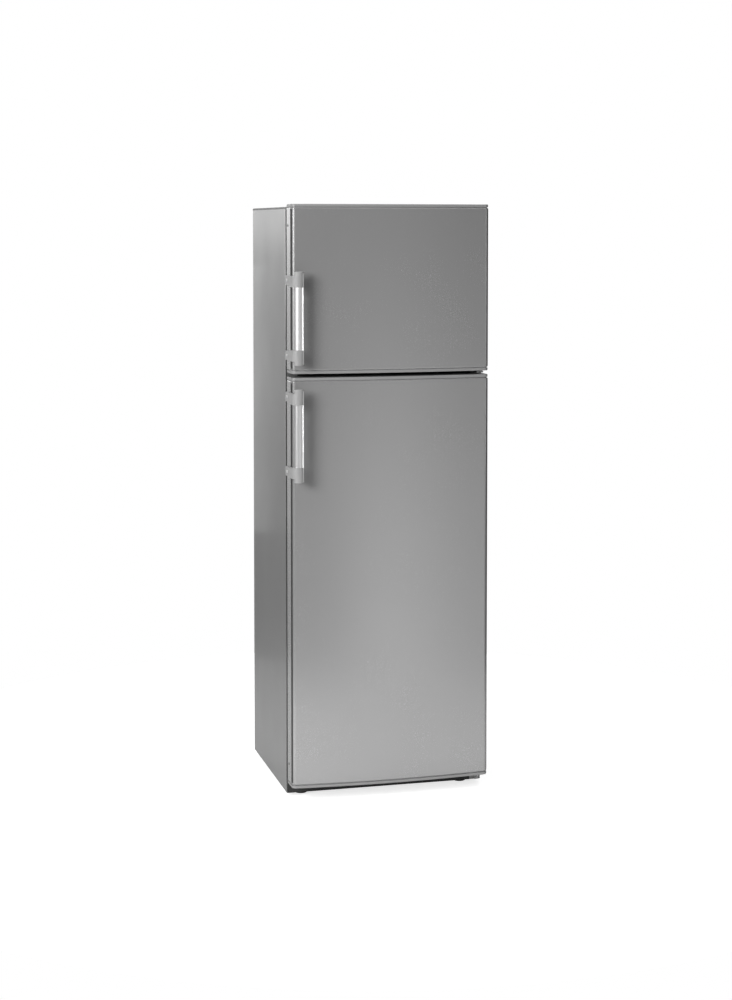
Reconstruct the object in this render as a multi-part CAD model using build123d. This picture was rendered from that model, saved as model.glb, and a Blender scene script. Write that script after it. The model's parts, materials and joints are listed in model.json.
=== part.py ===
from build123d import *
import os

# Two-door refrigerator with the freezer on top, in millimetres.
# +Z is up, the doors face -Y and hang on the +X side. The origin is the middle of the floor area.

# Cabinet
CABINET_WIDTH = 600.0
CABINET_DEPTH = 495.0
CABINET_TOP = 1748.0
SIDE_BOTTOM = 12.0
WALL_GAP = 30.0
SHEET = 1.0
SHEET_BEND = 2.5
FRONT_FLANGE = 34.0
LID_HEIGHT = 6.0
LID_WALL = 1.5
LID_ROUND = 3.0
BASE_HEIGHT = 48.0
PLINTH_WALL = 1.5
PLINTH_RETURN = 12.0
BACK_MARGIN = 3.0

# Compartments
LINER_WALL = 2.0
LINER_ROUND = 12.0
FRIDGE_SIDE_WALL = 45.0
FREEZER_SIDE_WALL = 55.0
FRIDGE_BACK_WALL = 55.0
FREEZER_BACK_WALL = 65.0
FREEZER_TOP_WALL = 60.0
FLOOR_WALL = 45.0
DIVIDER_HALF = 42.0
DIVIDER_RETURN = 10.0
HUMP_WALL = 38.0
HUMP_SLOPE = 30.0
FOAM_FIT = 0.2
FOAM_SETBACK = 12.0
EVAPORATOR_WALL = 1.5
EVAPORATOR_MARGIN = 40.0
FRIDGE_EVAPORATOR_HEIGHT = 420.0

# Doors
LOWER_DOOR_BOTTOM = 45.5
LOWER_DOOR_HEIGHT = 1207.0
DOOR_SPLIT = 11.0
DOOR_RISE = 8.0
SEAL_GAP = 13.0
DOOR_EDGE = 62.0
DOOR_BOW = 16.0
DOOR_CORNER = 14.0
DOOR_SKIN = 0.8
HEM_HEIGHT = 4.0
HEM_WIDTH = 3.2
HEM_ROUND = 2.6
CAP_HEIGHT = 8.0
CAP_INSET = 0.4
CAP_ROUND = 2.5
CAP_GROOVE = 2.5
CAP_SPIGOT = 12.0
DOOR_LINER_WALL = 2.0
DIKE_CLEARANCE = 6.0
DIKE_WIDTH = 26.0
DIKE_DEPTH = 30.0
DIKE_CORNER = 24.0
DIKE_ROUND = 7.0
GASKET_INSET = 20.0
GASKET_WIDTH = 14.0
GASKET_NECK = 7.0
GASKET_BASE = 3.0
GASKET_HEAD = 4.5
GASKET_CLEARANCE = 0.4

# Hinges
HINGE_INSET = 18.0
HINGE_SETBACK = 25.0
HINGE_HALF_WIDTH = 12.0
HINGE_PLATE = 4.0
HINGE_LEG = 3.0
HINGE_LEG_REACH = 24.0
TOP_HINGE_PLATE = 3.0
TOP_HINGE_LENGTH = 62.0
PIN_RADIUS = 4.0
PIN_FIT = 0.05
PIN_PRESS = 0.01
PIN_DEPTH = 10.0
PIN_END_GAP = 1.0
COLLAR_RADIUS = 9.0
COLLAR_CLEARANCE = 0.3
HINGE_RECESS_GAP = 1.5
HINGE_RECESS_FRONT = 22.0
HINGE_COVER_WALL = 1.2
HINGE_COVER_MARGIN = 3.0

# Handles
HANDLE_LENGTH = 271.0
HANDLE_PROJECTION = 48.0
UPPER_HANDLE_OFFSET = 26.5
LOWER_HANDLE_OFFSET = 30.5
BAR_WIDTH = 28.0
BAR_THICKNESS = 16.0
BAR_SOCKET = 24.0
BRACKET_HEIGHT = 45.0
BRACKET_SKIN = 1.2
BRACKET_ROUND = 3.0
STRAP_BEND = 18.0
EAR_HEIGHT = 28.0
EAR_STEP = 12.5
EAR_THICKNESS = 6.0
EAR_REAR_MARGIN = 6.0
EAR_ROUND = 9.0
ELBOW_ROUND = 12.0

# Shelves, drawers and racks
GLASS = 4.0
SHELF_PITCH = 220.0
SHELF_DOOR_GAP = 33.0
SHELF_SIDE_CLEARANCE = 1.5
SHELF_BACK_CLEARANCE = 6.0
FREEZER_SHELF_SHARE = 0.495
LEDGE_WIDTH = 8.0
LEDGE_HEIGHT = 9.0
LEDGE_FRONT = 150.0
LEDGE_LENGTH = 240.0
TRIM_DEPTH = 14.0
TRIM_WALL = 2.5
TRIM_FIT = 0.05
DRAWER_TRAVEL = 20.0
DRAWER_STOP_GAP = 3.0
DRAWER_HEADROOM = 30.0
DRAWER_WALL = 2.5
DRAWER_HEIGHT = 176.0
DRAWER_CORNER = 8.0
DRAWER_BASE_ROUND = 7.0
DRAWER_CLEARANCE = 0.3
DRAWER_BACK_CLEARANCE = 6.0
DRAWER_SIDE_CLEARANCE = 5.0
DRAWER_LIP = 14.0
DRAWER_LIP_DROP = 18.0
RACK_WALL = 2.5
RACK_CORNER = 16.0
RACK_BASE_ROUND = 8.0
RACK_CLEARANCE = 0.4
BOTTLE_RACK_DEPTH = 104.0
BOTTLE_RACK_HEIGHT = 96.0
BOTTLE_RACK_RISE = 16.0
JAR_RACK_DEPTH = 96.0
JAR_RACK_HEIGHT = 78.0
JAR_RACK_RISE = 470.0
FREEZER_RACK_DEPTH = 72.0
FREEZER_RACK_HEIGHT = 84.0
FREEZER_RACK_RISE = 30.0
DAIRY_DEPTH = 92.0
DAIRY_HEIGHT = 84.0
DAIRY_DROP = 214.0
LID_FRONT = 56.0
LID_SHEET = 2.4
LID_KNUCKLE = 4.5
LID_PEG = 2.5
LID_PEG_FIT = 0.06
LID_SIDE_CLEARANCE = 0.6
LID_TOP_CLEARANCE = 0.5

# Controls
PANEL_WIDTH = 230.0
PANEL_DEPTH = 150.0
PANEL_HEIGHT = 36.0
PANEL_SETBACK = 222.0
PANEL_ROUND = 8.0
KNOB_RADIUS = 14.0
KNOB_DEPTH = 13.0
KNOB_SHAFT = 3.0
KNOB_SHAFT_LENGTH = 14.0
KNOB_FIT = 0.05
KNOB_OFFSET = 70.0
KNOB_GAP = 0.5
KNOB_GRIP = 5.0
KNOB_GRIP_MARGIN = 2.5
LAMP_WIDTH = 90.0
LAMP_DEPTH = 60.0
LAMP_HEIGHT = 14.0
LAMP_WALL = 1.6

# Feet and rollers
FOOT_RADIUS = 18.0
FOOT_PAD = 9.0
FOOT_ROUND = 2.0
STEM_RADIUS = 5.0
STEM_FIT = 0.05
FOOT_COLLAR = 9.0
FOOT_COLLAR_HEIGHT = 16.0
FOOT_SIDE = 52.0
FOOT_SETBACK = 44.0
ROLLER_RADIUS = 16.0
ROLLER_WIDTH = 16.0
ROLLER_ROUND = 2.0
AXLE_RADIUS = 4.0
AXLE_FIT = 0.06
ROLLER_SIDE = 24.0
ROLLER_SETBACK = 40.0
CHEEK = 2.0
CHEEK_GAP = 0.6
CHEEK_HALF = 12.0

# Cooling machinery
RAIL_HALF_DEPTH = 70.0
RAIL_WALL = 2.0
RAIL_FLANGE = 10.0
RAIL_TOP = 42.0
COMPRESSOR_X = 70.0
COMPRESSOR_HALF_WIDTH = 98.0
COMPRESSOR_HALF_DEPTH = 68.0
COMPRESSOR_HEIGHT = 126.0
COMPRESSOR_ROUND = 34.0
COMPRESSOR_BEAD = 4.0
COMPRESSOR_FOOT_PLATE = 3.0
COMPRESSOR_FOOT_CORNER = 11.0
NICHE_FRONT_GAP = 14.0
NICHE_REAR_GAP = 17.0
NICHE_HEADROOM = 33.0
STARTER_DEPTH = 34.0
STARTER_WIDTH = 62.0
STARTER_HEIGHT = 66.0
STARTER_SINK = 12.0
STARTER_ROUND = 2.5
MOUNT_RADIUS = 12.0
MOUNT_HEIGHT = 12.0
MOUNT_SPACING_X = 160.0
MOUNT_SPACING_Y = 96.0
TRAY_WIDTH = 190.0
TRAY_DEPTH = 110.0
TRAY_HEIGHT = 24.0
TRAY_WALL = 1.8
TRAY_CORNER = 14.0
TRAY_BASE_ROUND = 7.0
DRAIN_RADIUS = 8.0
DRAIN_WALL = 1.5
DRAIN_FLANGE = 3.0
DRAIN_DIP = 12.0
DRAIN_X = 20.0
TUBE_RADIUS = 2.5
CONDENSER_HALF_WIDTH = 225.0
CONDENSER_PITCH = 84.0
CONDENSER_RUNS = 15
CONDENSER_RISE = 60.0
CONDENSER_GAP = 15.0
WIRE = 1.6
WIRE_COUNT = 18
WIRE_GAP = 0.3
CLIP_WIDTH = 16.0
CLIP_HEIGHT = 24.0
CLIP_FIT = 0.1
PIPE_BEND = 22.0
PIPE_CLEAR = 0.3
PIPE_STRAIGHT = 3.0
PIPE_LAP = 2.0
DRIER_RADIUS = 8.0
DRIER_LENGTH = 70.0
DRIER_TAPER = 3.0

# Places that follow from the sizes above
LEFT = -CABINET_WIDTH / 2
RIGHT = CABINET_WIDTH / 2
TOTAL_DEPTH = WALL_GAP + CABINET_DEPTH + SEAL_GAP + DOOR_EDGE + HANDLE_PROJECTION
WALL_Y = TOTAL_DEPTH / 2
BACK_Y = WALL_Y - WALL_GAP
FRONT_Y = BACK_Y - CABINET_DEPTH
DOOR_BACK_Y = FRONT_Y - SEAL_GAP
DOOR_EDGE_Y = DOOR_BACK_Y - DOOR_EDGE
HANDLE_FRONT_Y = DOOR_EDGE_Y - HANDLE_PROJECTION
COMPRESSOR_REACH = COMPRESSOR_HALF_DEPTH + COMPRESSOR_BEAD
COMPRESSOR_Y = BACK_Y - NICHE_REAR_GAP - COMPRESSOR_REACH
COMPRESSOR_Z = RAIL_TOP + MOUNT_HEIGHT + COMPRESSOR_FOOT_PLATE
COMPRESSOR_TOP = COMPRESSOR_Z + COMPRESSOR_HEIGHT
COMPRESSOR_WAIST = (COMPRESSOR_Z + COMPRESSOR_TOP) / 2
NICHE_Y = COMPRESSOR_Y - COMPRESSOR_REACH - NICHE_FRONT_GAP
NICHE_TOP = COMPRESSOR_TOP + TRAY_HEIGHT + NICHE_HEADROOM
RAIL_Y = (COMPRESSOR_Y - RAIL_HALF_DEPTH, COMPRESSOR_Y + RAIL_HALF_DEPTH)
LOWER_DOOR = (LOWER_DOOR_BOTTOM, LOWER_DOOR_BOTTOM + LOWER_DOOR_HEIGHT)
UPPER_DOOR = (LOWER_DOOR[1] + DOOR_SPLIT, CABINET_TOP + DOOR_RISE)
SPLIT_Z = (LOWER_DOOR[1] + UPPER_DOOR[0]) / 2
HINGE_X = RIGHT - HINGE_INSET
HINGE_Y = DOOR_BACK_Y - HINGE_SETBACK
FRIDGE_X = (LEFT + FRIDGE_SIDE_WALL, RIGHT - FRIDGE_SIDE_WALL)
FREEZER_X = (LEFT + FREEZER_SIDE_WALL, RIGHT - FREEZER_SIDE_WALL)
FRIDGE_Z = (BASE_HEIGHT + FLOOR_WALL, SPLIT_Z - DIVIDER_HALF)
FREEZER_Z = (SPLIT_Z + DIVIDER_HALF, CABINET_TOP - FREEZER_TOP_WALL)
FRIDGE_BACK_Y = BACK_Y - FRIDGE_BACK_WALL
FREEZER_BACK_Y = BACK_Y - FREEZER_BACK_WALL
HUMP_Y = NICHE_Y - HUMP_WALL
HUMP_Z = NICHE_TOP + HUMP_WALL
DRAWER_Z = (FRIDGE_Z[0] + DRAWER_CLEARANCE, FRIDGE_Z[0] + DRAWER_CLEARANCE + DRAWER_HEIGHT)
DRAWER_FRONT_Y = DOOR_BACK_Y + BOTTLE_RACK_DEPTH + DRAWER_TRAVEL + DRAWER_STOP_GAP + DRAWER_LIP
SHELF_FRONT_Y = DOOR_BACK_Y + JAR_RACK_DEPTH + SHELF_DOOR_GAP
FREEZER_SHELF_FRONT_Y = DOOR_BACK_Y + FREEZER_RACK_DEPTH + SHELF_DOOR_GAP
CRISPER_COVER_Z = max(DRAWER_Z[1] + DRAWER_HEADROOM, HUMP_Z + LINER_ROUND)
SHELF_LEVELS = [CRISPER_COVER_Z + SHELF_PITCH * step for step in range(4)]
FREEZER_SHELF_Z = FREEZER_Z[0] + FREEZER_SHELF_SHARE * (FREEZER_Z[1] - FREEZER_Z[0])
INNER_FLANGE_X = (LEFT + FRONT_FLANGE, RIGHT - FRONT_FLANGE)
INSIDE_X = (LEFT + SHEET, RIGHT - SHEET)
CONDENSER_Y = BACK_Y + CONDENSER_GAP
CONDENSER_Z = NICHE_TOP + CONDENSER_RISE
CONDENSER_TOP = CONDENSER_Z + CONDENSER_PITCH * (CONDENSER_RUNS - 1)
WIRE_SPAN = CONDENSER_HALF_WIDTH - CONDENSER_PITCH / 2
WIRE_STEP = 2 * WIRE_SPAN / (WIRE_COUNT - 1)
CLIP_X = WIRE_SPAN - WIRE_STEP / 2
PIPE_X = CONDENSER_HALF_WIDTH + PIPE_BEND + PIPE_STRAIGHT
THROUGH = 2.0
ROUND_LIMIT = 0.45
BEND_SHARE = 0.999


def inset(span, amount):
    return (span[0] + amount, span[1] - amount)


def block(x, y, z):
    size = [pair[1] - pair[0] for pair in (x, y, z)]
    middle = [(pair[0] + pair[1]) / 2 for pair in (x, y, z)]
    return Pos(*middle) * Box(*size)


def ring(x, y, z, width):
    return block(x, y, z) - block(inset(x, width), (y[0] - THROUGH, y[1] + THROUGH), inset(z, width))


def upright(radius, x, y, z):
    return Pos(x, y, (z[0] + z[1]) / 2) * Cylinder(radius, z[1] - z[0])


def along_x(radius, x, y, z):
    return Pos((x[0] + x[1]) / 2, y, z) * Rot(0, 90, 0) * Cylinder(radius, x[1] - x[0])


def along_y(radius, x, y, z):
    return Pos(x, (y[0] + y[1]) / 2, z) * Rot(90, 0, 0) * Cylinder(radius, y[1] - y[0])


def folded_sheet(points, thickness):
    path = FilletPolyline(*points, radius=SHEET_BEND)
    return make_face(path.offset_2d(thickness, side=Side.RIGHT))


def prism_z(face, z):
    return Pos(0, 0, z[0]) * extrude(face, z[1] - z[0])


def prism_x(face, x):
    return extrude(Plane.YZ.offset(x[0]) * face, x[1] - x[0])


def both_sides(solid):
    return [solid, mirror(solid, about=Plane.YZ)]


def group(solids):
    return Compound(children=list(solids))


# Cabinet shell
def side_panel():
    plan = folded_sheet(
        [(LEFT + FRONT_FLANGE, FRONT_Y), (LEFT, FRONT_Y), (LEFT, BACK_Y), (LEFT + FRONT_FLANGE, BACK_Y)], SHEET
    )
    return prism_z(plan, (SIDE_BOTTOM, CABINET_TOP - LID_HEIGHT))


def top_panel():
    lid_z = (CABINET_TOP - LID_HEIGHT, CABINET_TOP)
    lid = block((LEFT, RIGHT), (FRONT_Y, BACK_Y), lid_z)
    lid = fillet(lid.faces().sort_by(Axis.Z)[-1].edges(), LID_ROUND)
    hollow = block(
        inset((LEFT, RIGHT), LID_WALL + LID_ROUND),
        inset((FRONT_Y, BACK_Y), LID_WALL + LID_ROUND),
        (lid_z[0] - THROUGH, lid_z[1] - LID_WALL),
    )
    apron = block(INNER_FLANGE_X, (FRONT_Y, FRONT_Y + SHEET), (CABINET_TOP - FRONT_FLANGE, lid_z[0]))
    return lid - hollow + apron


def back_panel():
    return block(
        inset((LEFT, RIGHT), BACK_MARGIN),
        (BACK_Y, BACK_Y + SHEET),
        (NICHE_TOP - FRONT_FLANGE / 2, CABINET_TOP - LID_HEIGHT),
    )


def foot_places():
    return [(side * (RIGHT - FOOT_SIDE), FRONT_Y + FOOT_SETBACK) for side in (-1, 1)]


def base_panel():
    rise = [(NICHE_Y, BASE_HEIGHT), (NICHE_Y, NICHE_TOP), (BACK_Y - SHEET_BEND, NICHE_TOP)]
    front = FRONT_Y + SHEET
    flange = [(front, BASE_HEIGHT + FRONT_FLANGE), (front, BASE_HEIGHT)]
    panel = prism_x(folded_sheet([(FRONT_Y + SHEET_BEND, BASE_HEIGHT)] + rise, SHEET), INSIDE_X)
    panel += prism_x(folded_sheet(flange + rise, SHEET), INNER_FLANGE_X)
    for x, y in foot_places():
        panel += upright(FOOT_COLLAR, x, y, (BASE_HEIGHT - FOOT_COLLAR_HEIGHT, BASE_HEIGHT - SHEET / 2))
    for x, y in foot_places():
        panel -= upright(STEM_RADIUS + STEM_FIT, x, y, (SIDE_BOTTOM, BASE_HEIGHT + THROUGH))
    return panel


def plinth():
    z = (SIDE_BOTTOM, BASE_HEIGHT - SHEET)
    path = [
        (FRONT_Y + PLINTH_RETURN, z[1]),
        (FRONT_Y, z[1]),
        (FRONT_Y, z[0]),
        (FRONT_Y + PLINTH_RETURN, z[0]),
    ]
    bend = FilletPolyline(*path, radius=SHEET_BEND)
    channel = prism_x(make_face(bend.offset_2d(PLINTH_WALL, side=Side.LEFT)), INNER_FLANGE_X)
    return channel + block((LEFT + SHEET_BEND, INNER_FLANGE_X[1]), (FRONT_Y - PLINTH_WALL, FRONT_Y), z)


# Liners, foam and evaporators
def fridge_outline(grow):
    low, high = FRIDGE_Z[0] - grow, FRIDGE_Z[1] + grow
    hump_y, hump_z = HUMP_Y + grow, HUMP_Z - grow
    back = FRIDGE_BACK_Y + grow
    return make_face(
        Polyline(
            (FRONT_Y, low),
            (hump_y, low),
            (hump_y, hump_z - HUMP_SLOPE),
            (hump_y + HUMP_SLOPE, hump_z),
            (back, hump_z),
            (back, high),
            (FRONT_Y, high),
            close=True,
        )
    )


def freezer_outline(grow):
    low, high = FREEZER_Z[0] - grow, FREEZER_Z[1] + grow
    back = FREEZER_BACK_Y + grow
    return make_face(Polyline((FRONT_Y, low), (back, low), (back, high), (FRONT_Y, high), close=True))


def cavity(outline, x):
    room = prism_x(outline(0), x)
    return fillet([edge for edge in room.edges() if edge.center().Y > FRONT_Y + THROUGH], LINER_ROUND)


def ledges(x, z):
    y = (FRONT_Y + LEDGE_FRONT, FRONT_Y + LEDGE_FRONT + LEDGE_LENGTH)
    return both_sides(block((x[0] - LINER_WALL / 2, x[0] + LEDGE_WIDTH), y, (z - LEDGE_HEIGHT, z)))


def liner(outline, x, lip_z, shelf_levels):
    tub = prism_x(outline(LINER_WALL), inset(x, -LINER_WALL))
    tub += block(INNER_FLANGE_X, (FRONT_Y, FRONT_Y + LINER_WALL), lip_z)
    tub -= cavity(outline, x)
    for level in shelf_levels:
        for ledge in ledges(x, level):
            tub += ledge
    return tub


def freezer_liner():
    lip_z = (FREEZER_Z[0] - LINER_WALL, CABINET_TOP - FRONT_FLANGE)
    return liner(freezer_outline, FREEZER_X, lip_z, [FREEZER_SHELF_Z])


def fridge_liner():
    lip_z = (BASE_HEIGHT + FRONT_FLANGE, FRIDGE_Z[1] + LINER_WALL)
    return liner(fridge_outline, FRIDGE_X, lip_z, SHELF_LEVELS)


def divider_rail():
    low, high = FRIDGE_Z[1] + LINER_WALL, FREEZER_Z[0] - LINER_WALL
    path = [(FRONT_Y + DIVIDER_RETURN, low), (FRONT_Y, low), (FRONT_Y, high), (FRONT_Y + DIVIDER_RETURN, high)]
    return prism_x(folded_sheet(path, SHEET), INNER_FLANGE_X)


def evaporator_spans():
    back_z = inset(FREEZER_Z, EVAPORATOR_MARGIN)
    fridge_top = FRIDGE_Z[1] - EVAPORATOR_MARGIN
    fridge_z = (fridge_top - FRIDGE_EVAPORATOR_HEIGHT, fridge_top)
    return [
        (inset(FREEZER_X, EVAPORATOR_MARGIN), FREEZER_BACK_Y + LINER_WALL, back_z),
        (inset(FRIDGE_X, EVAPORATOR_MARGIN), FRIDGE_BACK_Y + LINER_WALL, fridge_z),
    ]


def evaporators():
    return group(block(x, (y, y + EVAPORATOR_WALL), z) for x, y, z in evaporator_spans())


def insulation_foam():
    y = (FRONT_Y + FOAM_SETBACK, BACK_Y - SHEET - FOAM_FIT)
    z = (BASE_HEIGHT + FOAM_FIT, CABINET_TOP - LID_HEIGHT - FOAM_FIT)
    foam = block(inset(INSIDE_X, FOAM_FIT), y, z)
    foam = fillet(foam.edges().filter_by(Axis.Z), SHEET_BEND)
    niche = block((LEFT, RIGHT), (NICHE_Y - FOAM_FIT, BACK_Y), (0, NICHE_TOP + FOAM_FIT))
    grow = LINER_WALL + FOAM_FIT
    foam -= niche
    heel = foam.edges().filter_by(Axis.X).sort_by_distance((0, NICHE_Y, BASE_HEIGHT))[0]
    foam = fillet(heel, SHEET_BEND)
    foam -= prism_x(freezer_outline(grow), inset(FREEZER_X, -grow))
    foam -= prism_x(fridge_outline(grow), inset(FRIDGE_X, -grow))
    for x, y, z in evaporator_spans():
        foam -= block(inset(x, -FOAM_FIT), (y, y + EVAPORATOR_WALL + FOAM_FIT), inset(z, -FOAM_FIT))
    return foam


# Doors
def door_plan(margin, back):
    left, right = LEFT + margin, RIGHT - margin
    front = DOOR_EDGE_Y + margin
    sides = Polyline((left, front), (left, back), (right, back), (right, front))
    bow = ThreePointArc((right, front), (0, front - DOOR_BOW), (left, front))
    face = make_face(sides + bow)
    return fillet(face.vertices().group_by(Axis.Y)[0], DOOR_CORNER - margin)


def door_body(door):
    return inset(door, CAP_HEIGHT + CAP_GROOVE)


def door_skin(door):
    z = door_body(door)
    skin = prism_z(door_plan(0, DOOR_BACK_Y), z)
    ends = skin.faces().filter_by(Axis.Z).edges()
    skin = fillet([edge for edge in ends if edge.center().Y < DOOR_BACK_Y - THROUGH], HEM_ROUND)
    skin -= prism_z(door_plan(DOOR_SKIN, DOOR_BACK_Y + THROUGH), inset(z, HEM_HEIGHT))
    skin -= prism_z(door_plan(HEM_WIDTH, DOOR_BACK_Y + THROUGH), inset(z, -THROUGH))
    liner_y = (DOOR_BACK_Y - DOOR_LINER_WALL - HEM_ROUND, DOOR_BACK_Y + THROUGH)
    return skin - block(inset((LEFT, RIGHT), DOOR_SKIN), liner_y, inset(z, -THROUGH))


def dike_ring(opening_x, opening_z, shrink, y):
    x, z = inset(opening_x, DIKE_CLEARANCE + shrink), inset(opening_z, DIKE_CLEARANCE + shrink)
    width = DIKE_WIDTH - 2 * shrink
    size = (x[1] - x[0], z[1] - z[0])
    outer = RectangleRounded(*size, DIKE_CORNER - shrink)
    inner = RectangleRounded(size[0] - 2 * width, size[1] - 2 * width, DIKE_CORNER / 2 + shrink)
    face = Plane((0, y[0], (z[0] + z[1]) / 2), x_dir=(1, 0, 0), z_dir=(0, -1, 0)) * (outer - inner)
    rim = extrude(face, y[0] - y[1])
    return fillet(rim.faces().sort_by(Axis.Y)[-1].edges(), DIKE_ROUND - shrink)


def door_liner(door, opening_x, opening_z):
    z = inset(door_body(door), HEM_ROUND)
    front = DOOR_BACK_Y - DOOR_LINER_WALL
    plate = block(inset((LEFT, RIGHT), DOOR_SKIN), (front, DOOR_BACK_Y), z)
    plate += dike_ring(opening_x, opening_z, 0, (front, DOOR_BACK_Y + DIKE_DEPTH))
    hollow_y = (front, DOOR_BACK_Y + DIKE_DEPTH - DOOR_LINER_WALL)
    return plate - dike_ring(opening_x, opening_z, DOOR_LINER_WALL, hollow_y)


def door_foam(door, opening_x, opening_z):
    z = inset(door_body(door), CAP_SPIGOT + FOAM_FIT)
    back = DOOR_BACK_Y - DOOR_LINER_WALL - FOAM_FIT
    core = prism_z(door_plan(DOOR_SKIN + FOAM_FIT, back), z)
    rim_y = (back - THROUGH, DOOR_BACK_Y + DIKE_DEPTH - DOOR_LINER_WALL - FOAM_FIT)
    return core + dike_ring(opening_x, opening_z, DOOR_LINER_WALL + FOAM_FIT, rim_y)


def end_cap(edge, inward, collar, sink):
    """Moulded cap at one end of a door: edge is its outer face, inward is +1 or -1 along Z, sink is how far below
    that face the hinge lies."""
    levels = [edge, edge + inward * CAP_HEIGHT, edge + inward * (CAP_HEIGHT + CAP_GROOVE + CAP_SPIGOT)]
    cap = prism_z(door_plan(CAP_INSET, DOOR_BACK_Y), sorted(levels[:2]))
    outer_face = cap.faces().sort_by(Axis.Z)[0 if inward > 0 else -1]
    cap = fillet(outer_face.edges(), CAP_ROUND)
    spigot_back = DOOR_BACK_Y - DOOR_LINER_WALL
    cap += prism_z(door_plan(HEM_WIDTH + CAP_INSET, spigot_back), sorted(levels[1:]))
    if collar:
        cap += upright(COLLAR_RADIUS, HINGE_X, HINGE_Y, sorted((edge - inward * collar, edge + inward * CAP_ROUND)))
    bore_end = edge + inward * (sink + PIN_DEPTH + PIN_END_GAP)
    bore_start = edge - inward * (collar + THROUGH)
    return cap - upright(PIN_RADIUS + PIN_FIT, HINGE_X, HINGE_Y, sorted((bore_start, bore_end)))


def hinge_sink():
    return DOOR_RISE + HINGE_RECESS_GAP


def hinge_recess(top):
    floor = top - hinge_sink()
    x = (HINGE_X - HINGE_HALF_WIDTH - HINGE_RECESS_GAP, RIGHT + THROUGH)
    y = (HINGE_Y - HINGE_RECESS_FRONT, DOOR_BACK_Y + THROUGH)
    return block(x, y, (floor, top + THROUGH))


def freezer_door_caps():
    bearing = (DOOR_SPLIT - HINGE_PLATE) / 2 - COLLAR_CLEARANCE
    top = end_cap(UPPER_DOOR[1], -1, 0, hinge_sink()) - hinge_recess(UPPER_DOOR[1])
    return group([top, end_cap(UPPER_DOOR[0], 1, bearing, 0)])


def fridge_door_caps():
    bearing = LOWER_DOOR[0] - bottom_hinge_z()[1] - COLLAR_CLEARANCE
    return group([end_cap(LOWER_DOOR[1], -1, 0, 0), end_cap(LOWER_DOOR[0], 1, bearing, 0)])


def door_gasket(door):
    x, z = inset((LEFT, RIGHT), GASKET_INSET), inset(door, GASKET_INSET)
    crest = DOOR_BACK_Y + SEAL_GAP - GASKET_CLEARANCE
    step = (GASKET_WIDTH - GASKET_NECK) / 2
    seal = ring(x, (DOOR_BACK_Y, DOOR_BACK_Y + GASKET_BASE), z, GASKET_WIDTH)
    seal += ring(inset(x, step), (DOOR_BACK_Y, crest), inset(z, step), GASKET_NECK)
    return seal + ring(x, (crest - GASKET_HEAD, crest), z, GASKET_WIDTH)


# Handles
def handle_x():
    return (LEFT, LEFT + BAR_WIDTH)


def handle_back():
    return HANDLE_FRONT_Y + BAR_THICKNESS + 2 * BRACKET_SKIN


def handle_oval(skin):
    """Oval section of the bar, grown by the skin of the cap that holds it."""
    middle = Pos(sum(handle_x()) / 2, (HANDLE_FRONT_Y + handle_back()) / 2)
    return middle * Ellipse(BAR_WIDTH / 2 - BRACKET_SKIN + skin, BAR_THICKNESS / 2 + skin)


def handle_bar(z):
    return prism_z(handle_oval(0), inset(z, BRACKET_HEIGHT - BAR_SOCKET))


def round_corner(face, place, radius):
    return fillet(face.vertices().sort_by_distance((*place, 0))[0], radius)


def handle_strap(end, side):
    """Strap from the cap round the door's edge to its side, at the end of a handle: side is +1 at the upper end."""
    x = handle_x()
    back = handle_back()
    rear = DOOR_BACK_Y - EAR_REAR_MARGIN
    outer = LEFT - EAR_THICKNESS
    inner = sum(x) / 2
    plan = make_face(
        Polyline(
            (outer, rear), (outer, HANDLE_FRONT_Y), (inner, HANDLE_FRONT_Y), (inner, back), (x[0], back), (x[0], rear),
            close=True,
        )
    )
    plan = round_corner(plan, (outer, HANDLE_FRONT_Y), STRAP_BEND)
    plan = round_corner(plan, (x[0], back), ELBOW_ROUND)
    far = end - side * EAR_STEP
    near = far - side * EAR_HEIGHT
    cap_near = end - side * BRACKET_HEIGHT
    profile = make_face(
        Polyline(
            (rear, far), (HANDLE_FRONT_Y, far), (HANDLE_FRONT_Y, cap_near), (back, cap_near),
            (DOOR_EDGE_Y + DOOR_CORNER, near), (rear, near),
            close=True,
        )
    )
    for corner in (far, near):
        profile = round_corner(profile, (rear, corner), min(EAR_ROUND, ROUND_LIMIT * EAR_HEIGHT))
    return prism_z(plan, sorted((end, cap_near))) & prism_x(profile, (outer - THROUGH, x[1]))


def handle_bracket(end, side):
    cap = prism_z(handle_oval(BRACKET_SKIN), sorted((end, end - side * BRACKET_HEIGHT)))
    tip = cap.edges().sort_by(Axis.Z, reverse=side > 0)[0]
    cap = fillet(tip, BRACKET_ROUND)
    return cap + handle_strap(end, side)


def handle_brackets(z):
    bar = handle_bar(z)
    return group([handle_bracket(z[1], 1) - bar, handle_bracket(z[0], -1) - bar])


def upper_handle_z():
    low = UPPER_DOOR[0] + UPPER_HANDLE_OFFSET
    return (low, low + HANDLE_LENGTH)


def lower_handle_z():
    high = LOWER_DOOR[1] - LOWER_HANDLE_OFFSET
    return (high - HANDLE_LENGTH, high)


# Hinges
def hinge_plan(back):
    arm = make_face(
        Polyline(
            (HINGE_X - HINGE_HALF_WIDTH, HINGE_Y),
            (HINGE_X + HINGE_HALF_WIDTH, HINGE_Y),
            (HINGE_X + HINGE_HALF_WIDTH, back),
            (HINGE_X - HINGE_HALF_WIDTH, back),
            close=True,
        )
    )
    return arm + Pos(HINGE_X, HINGE_Y) * Circle(HINGE_HALF_WIDTH) - Pos(HINGE_X, HINGE_Y) * Circle(
        PIN_RADIUS + PIN_PRESS
    )


def middle_hinge_z():
    return (SPLIT_Z - HINGE_PLATE / 2, SPLIT_Z + HINGE_PLATE / 2)


def bottom_hinge_z():
    return (LOWER_DOOR[0] - 2 * HINGE_PLATE, LOWER_DOOR[0] - HINGE_PLATE)


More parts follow.
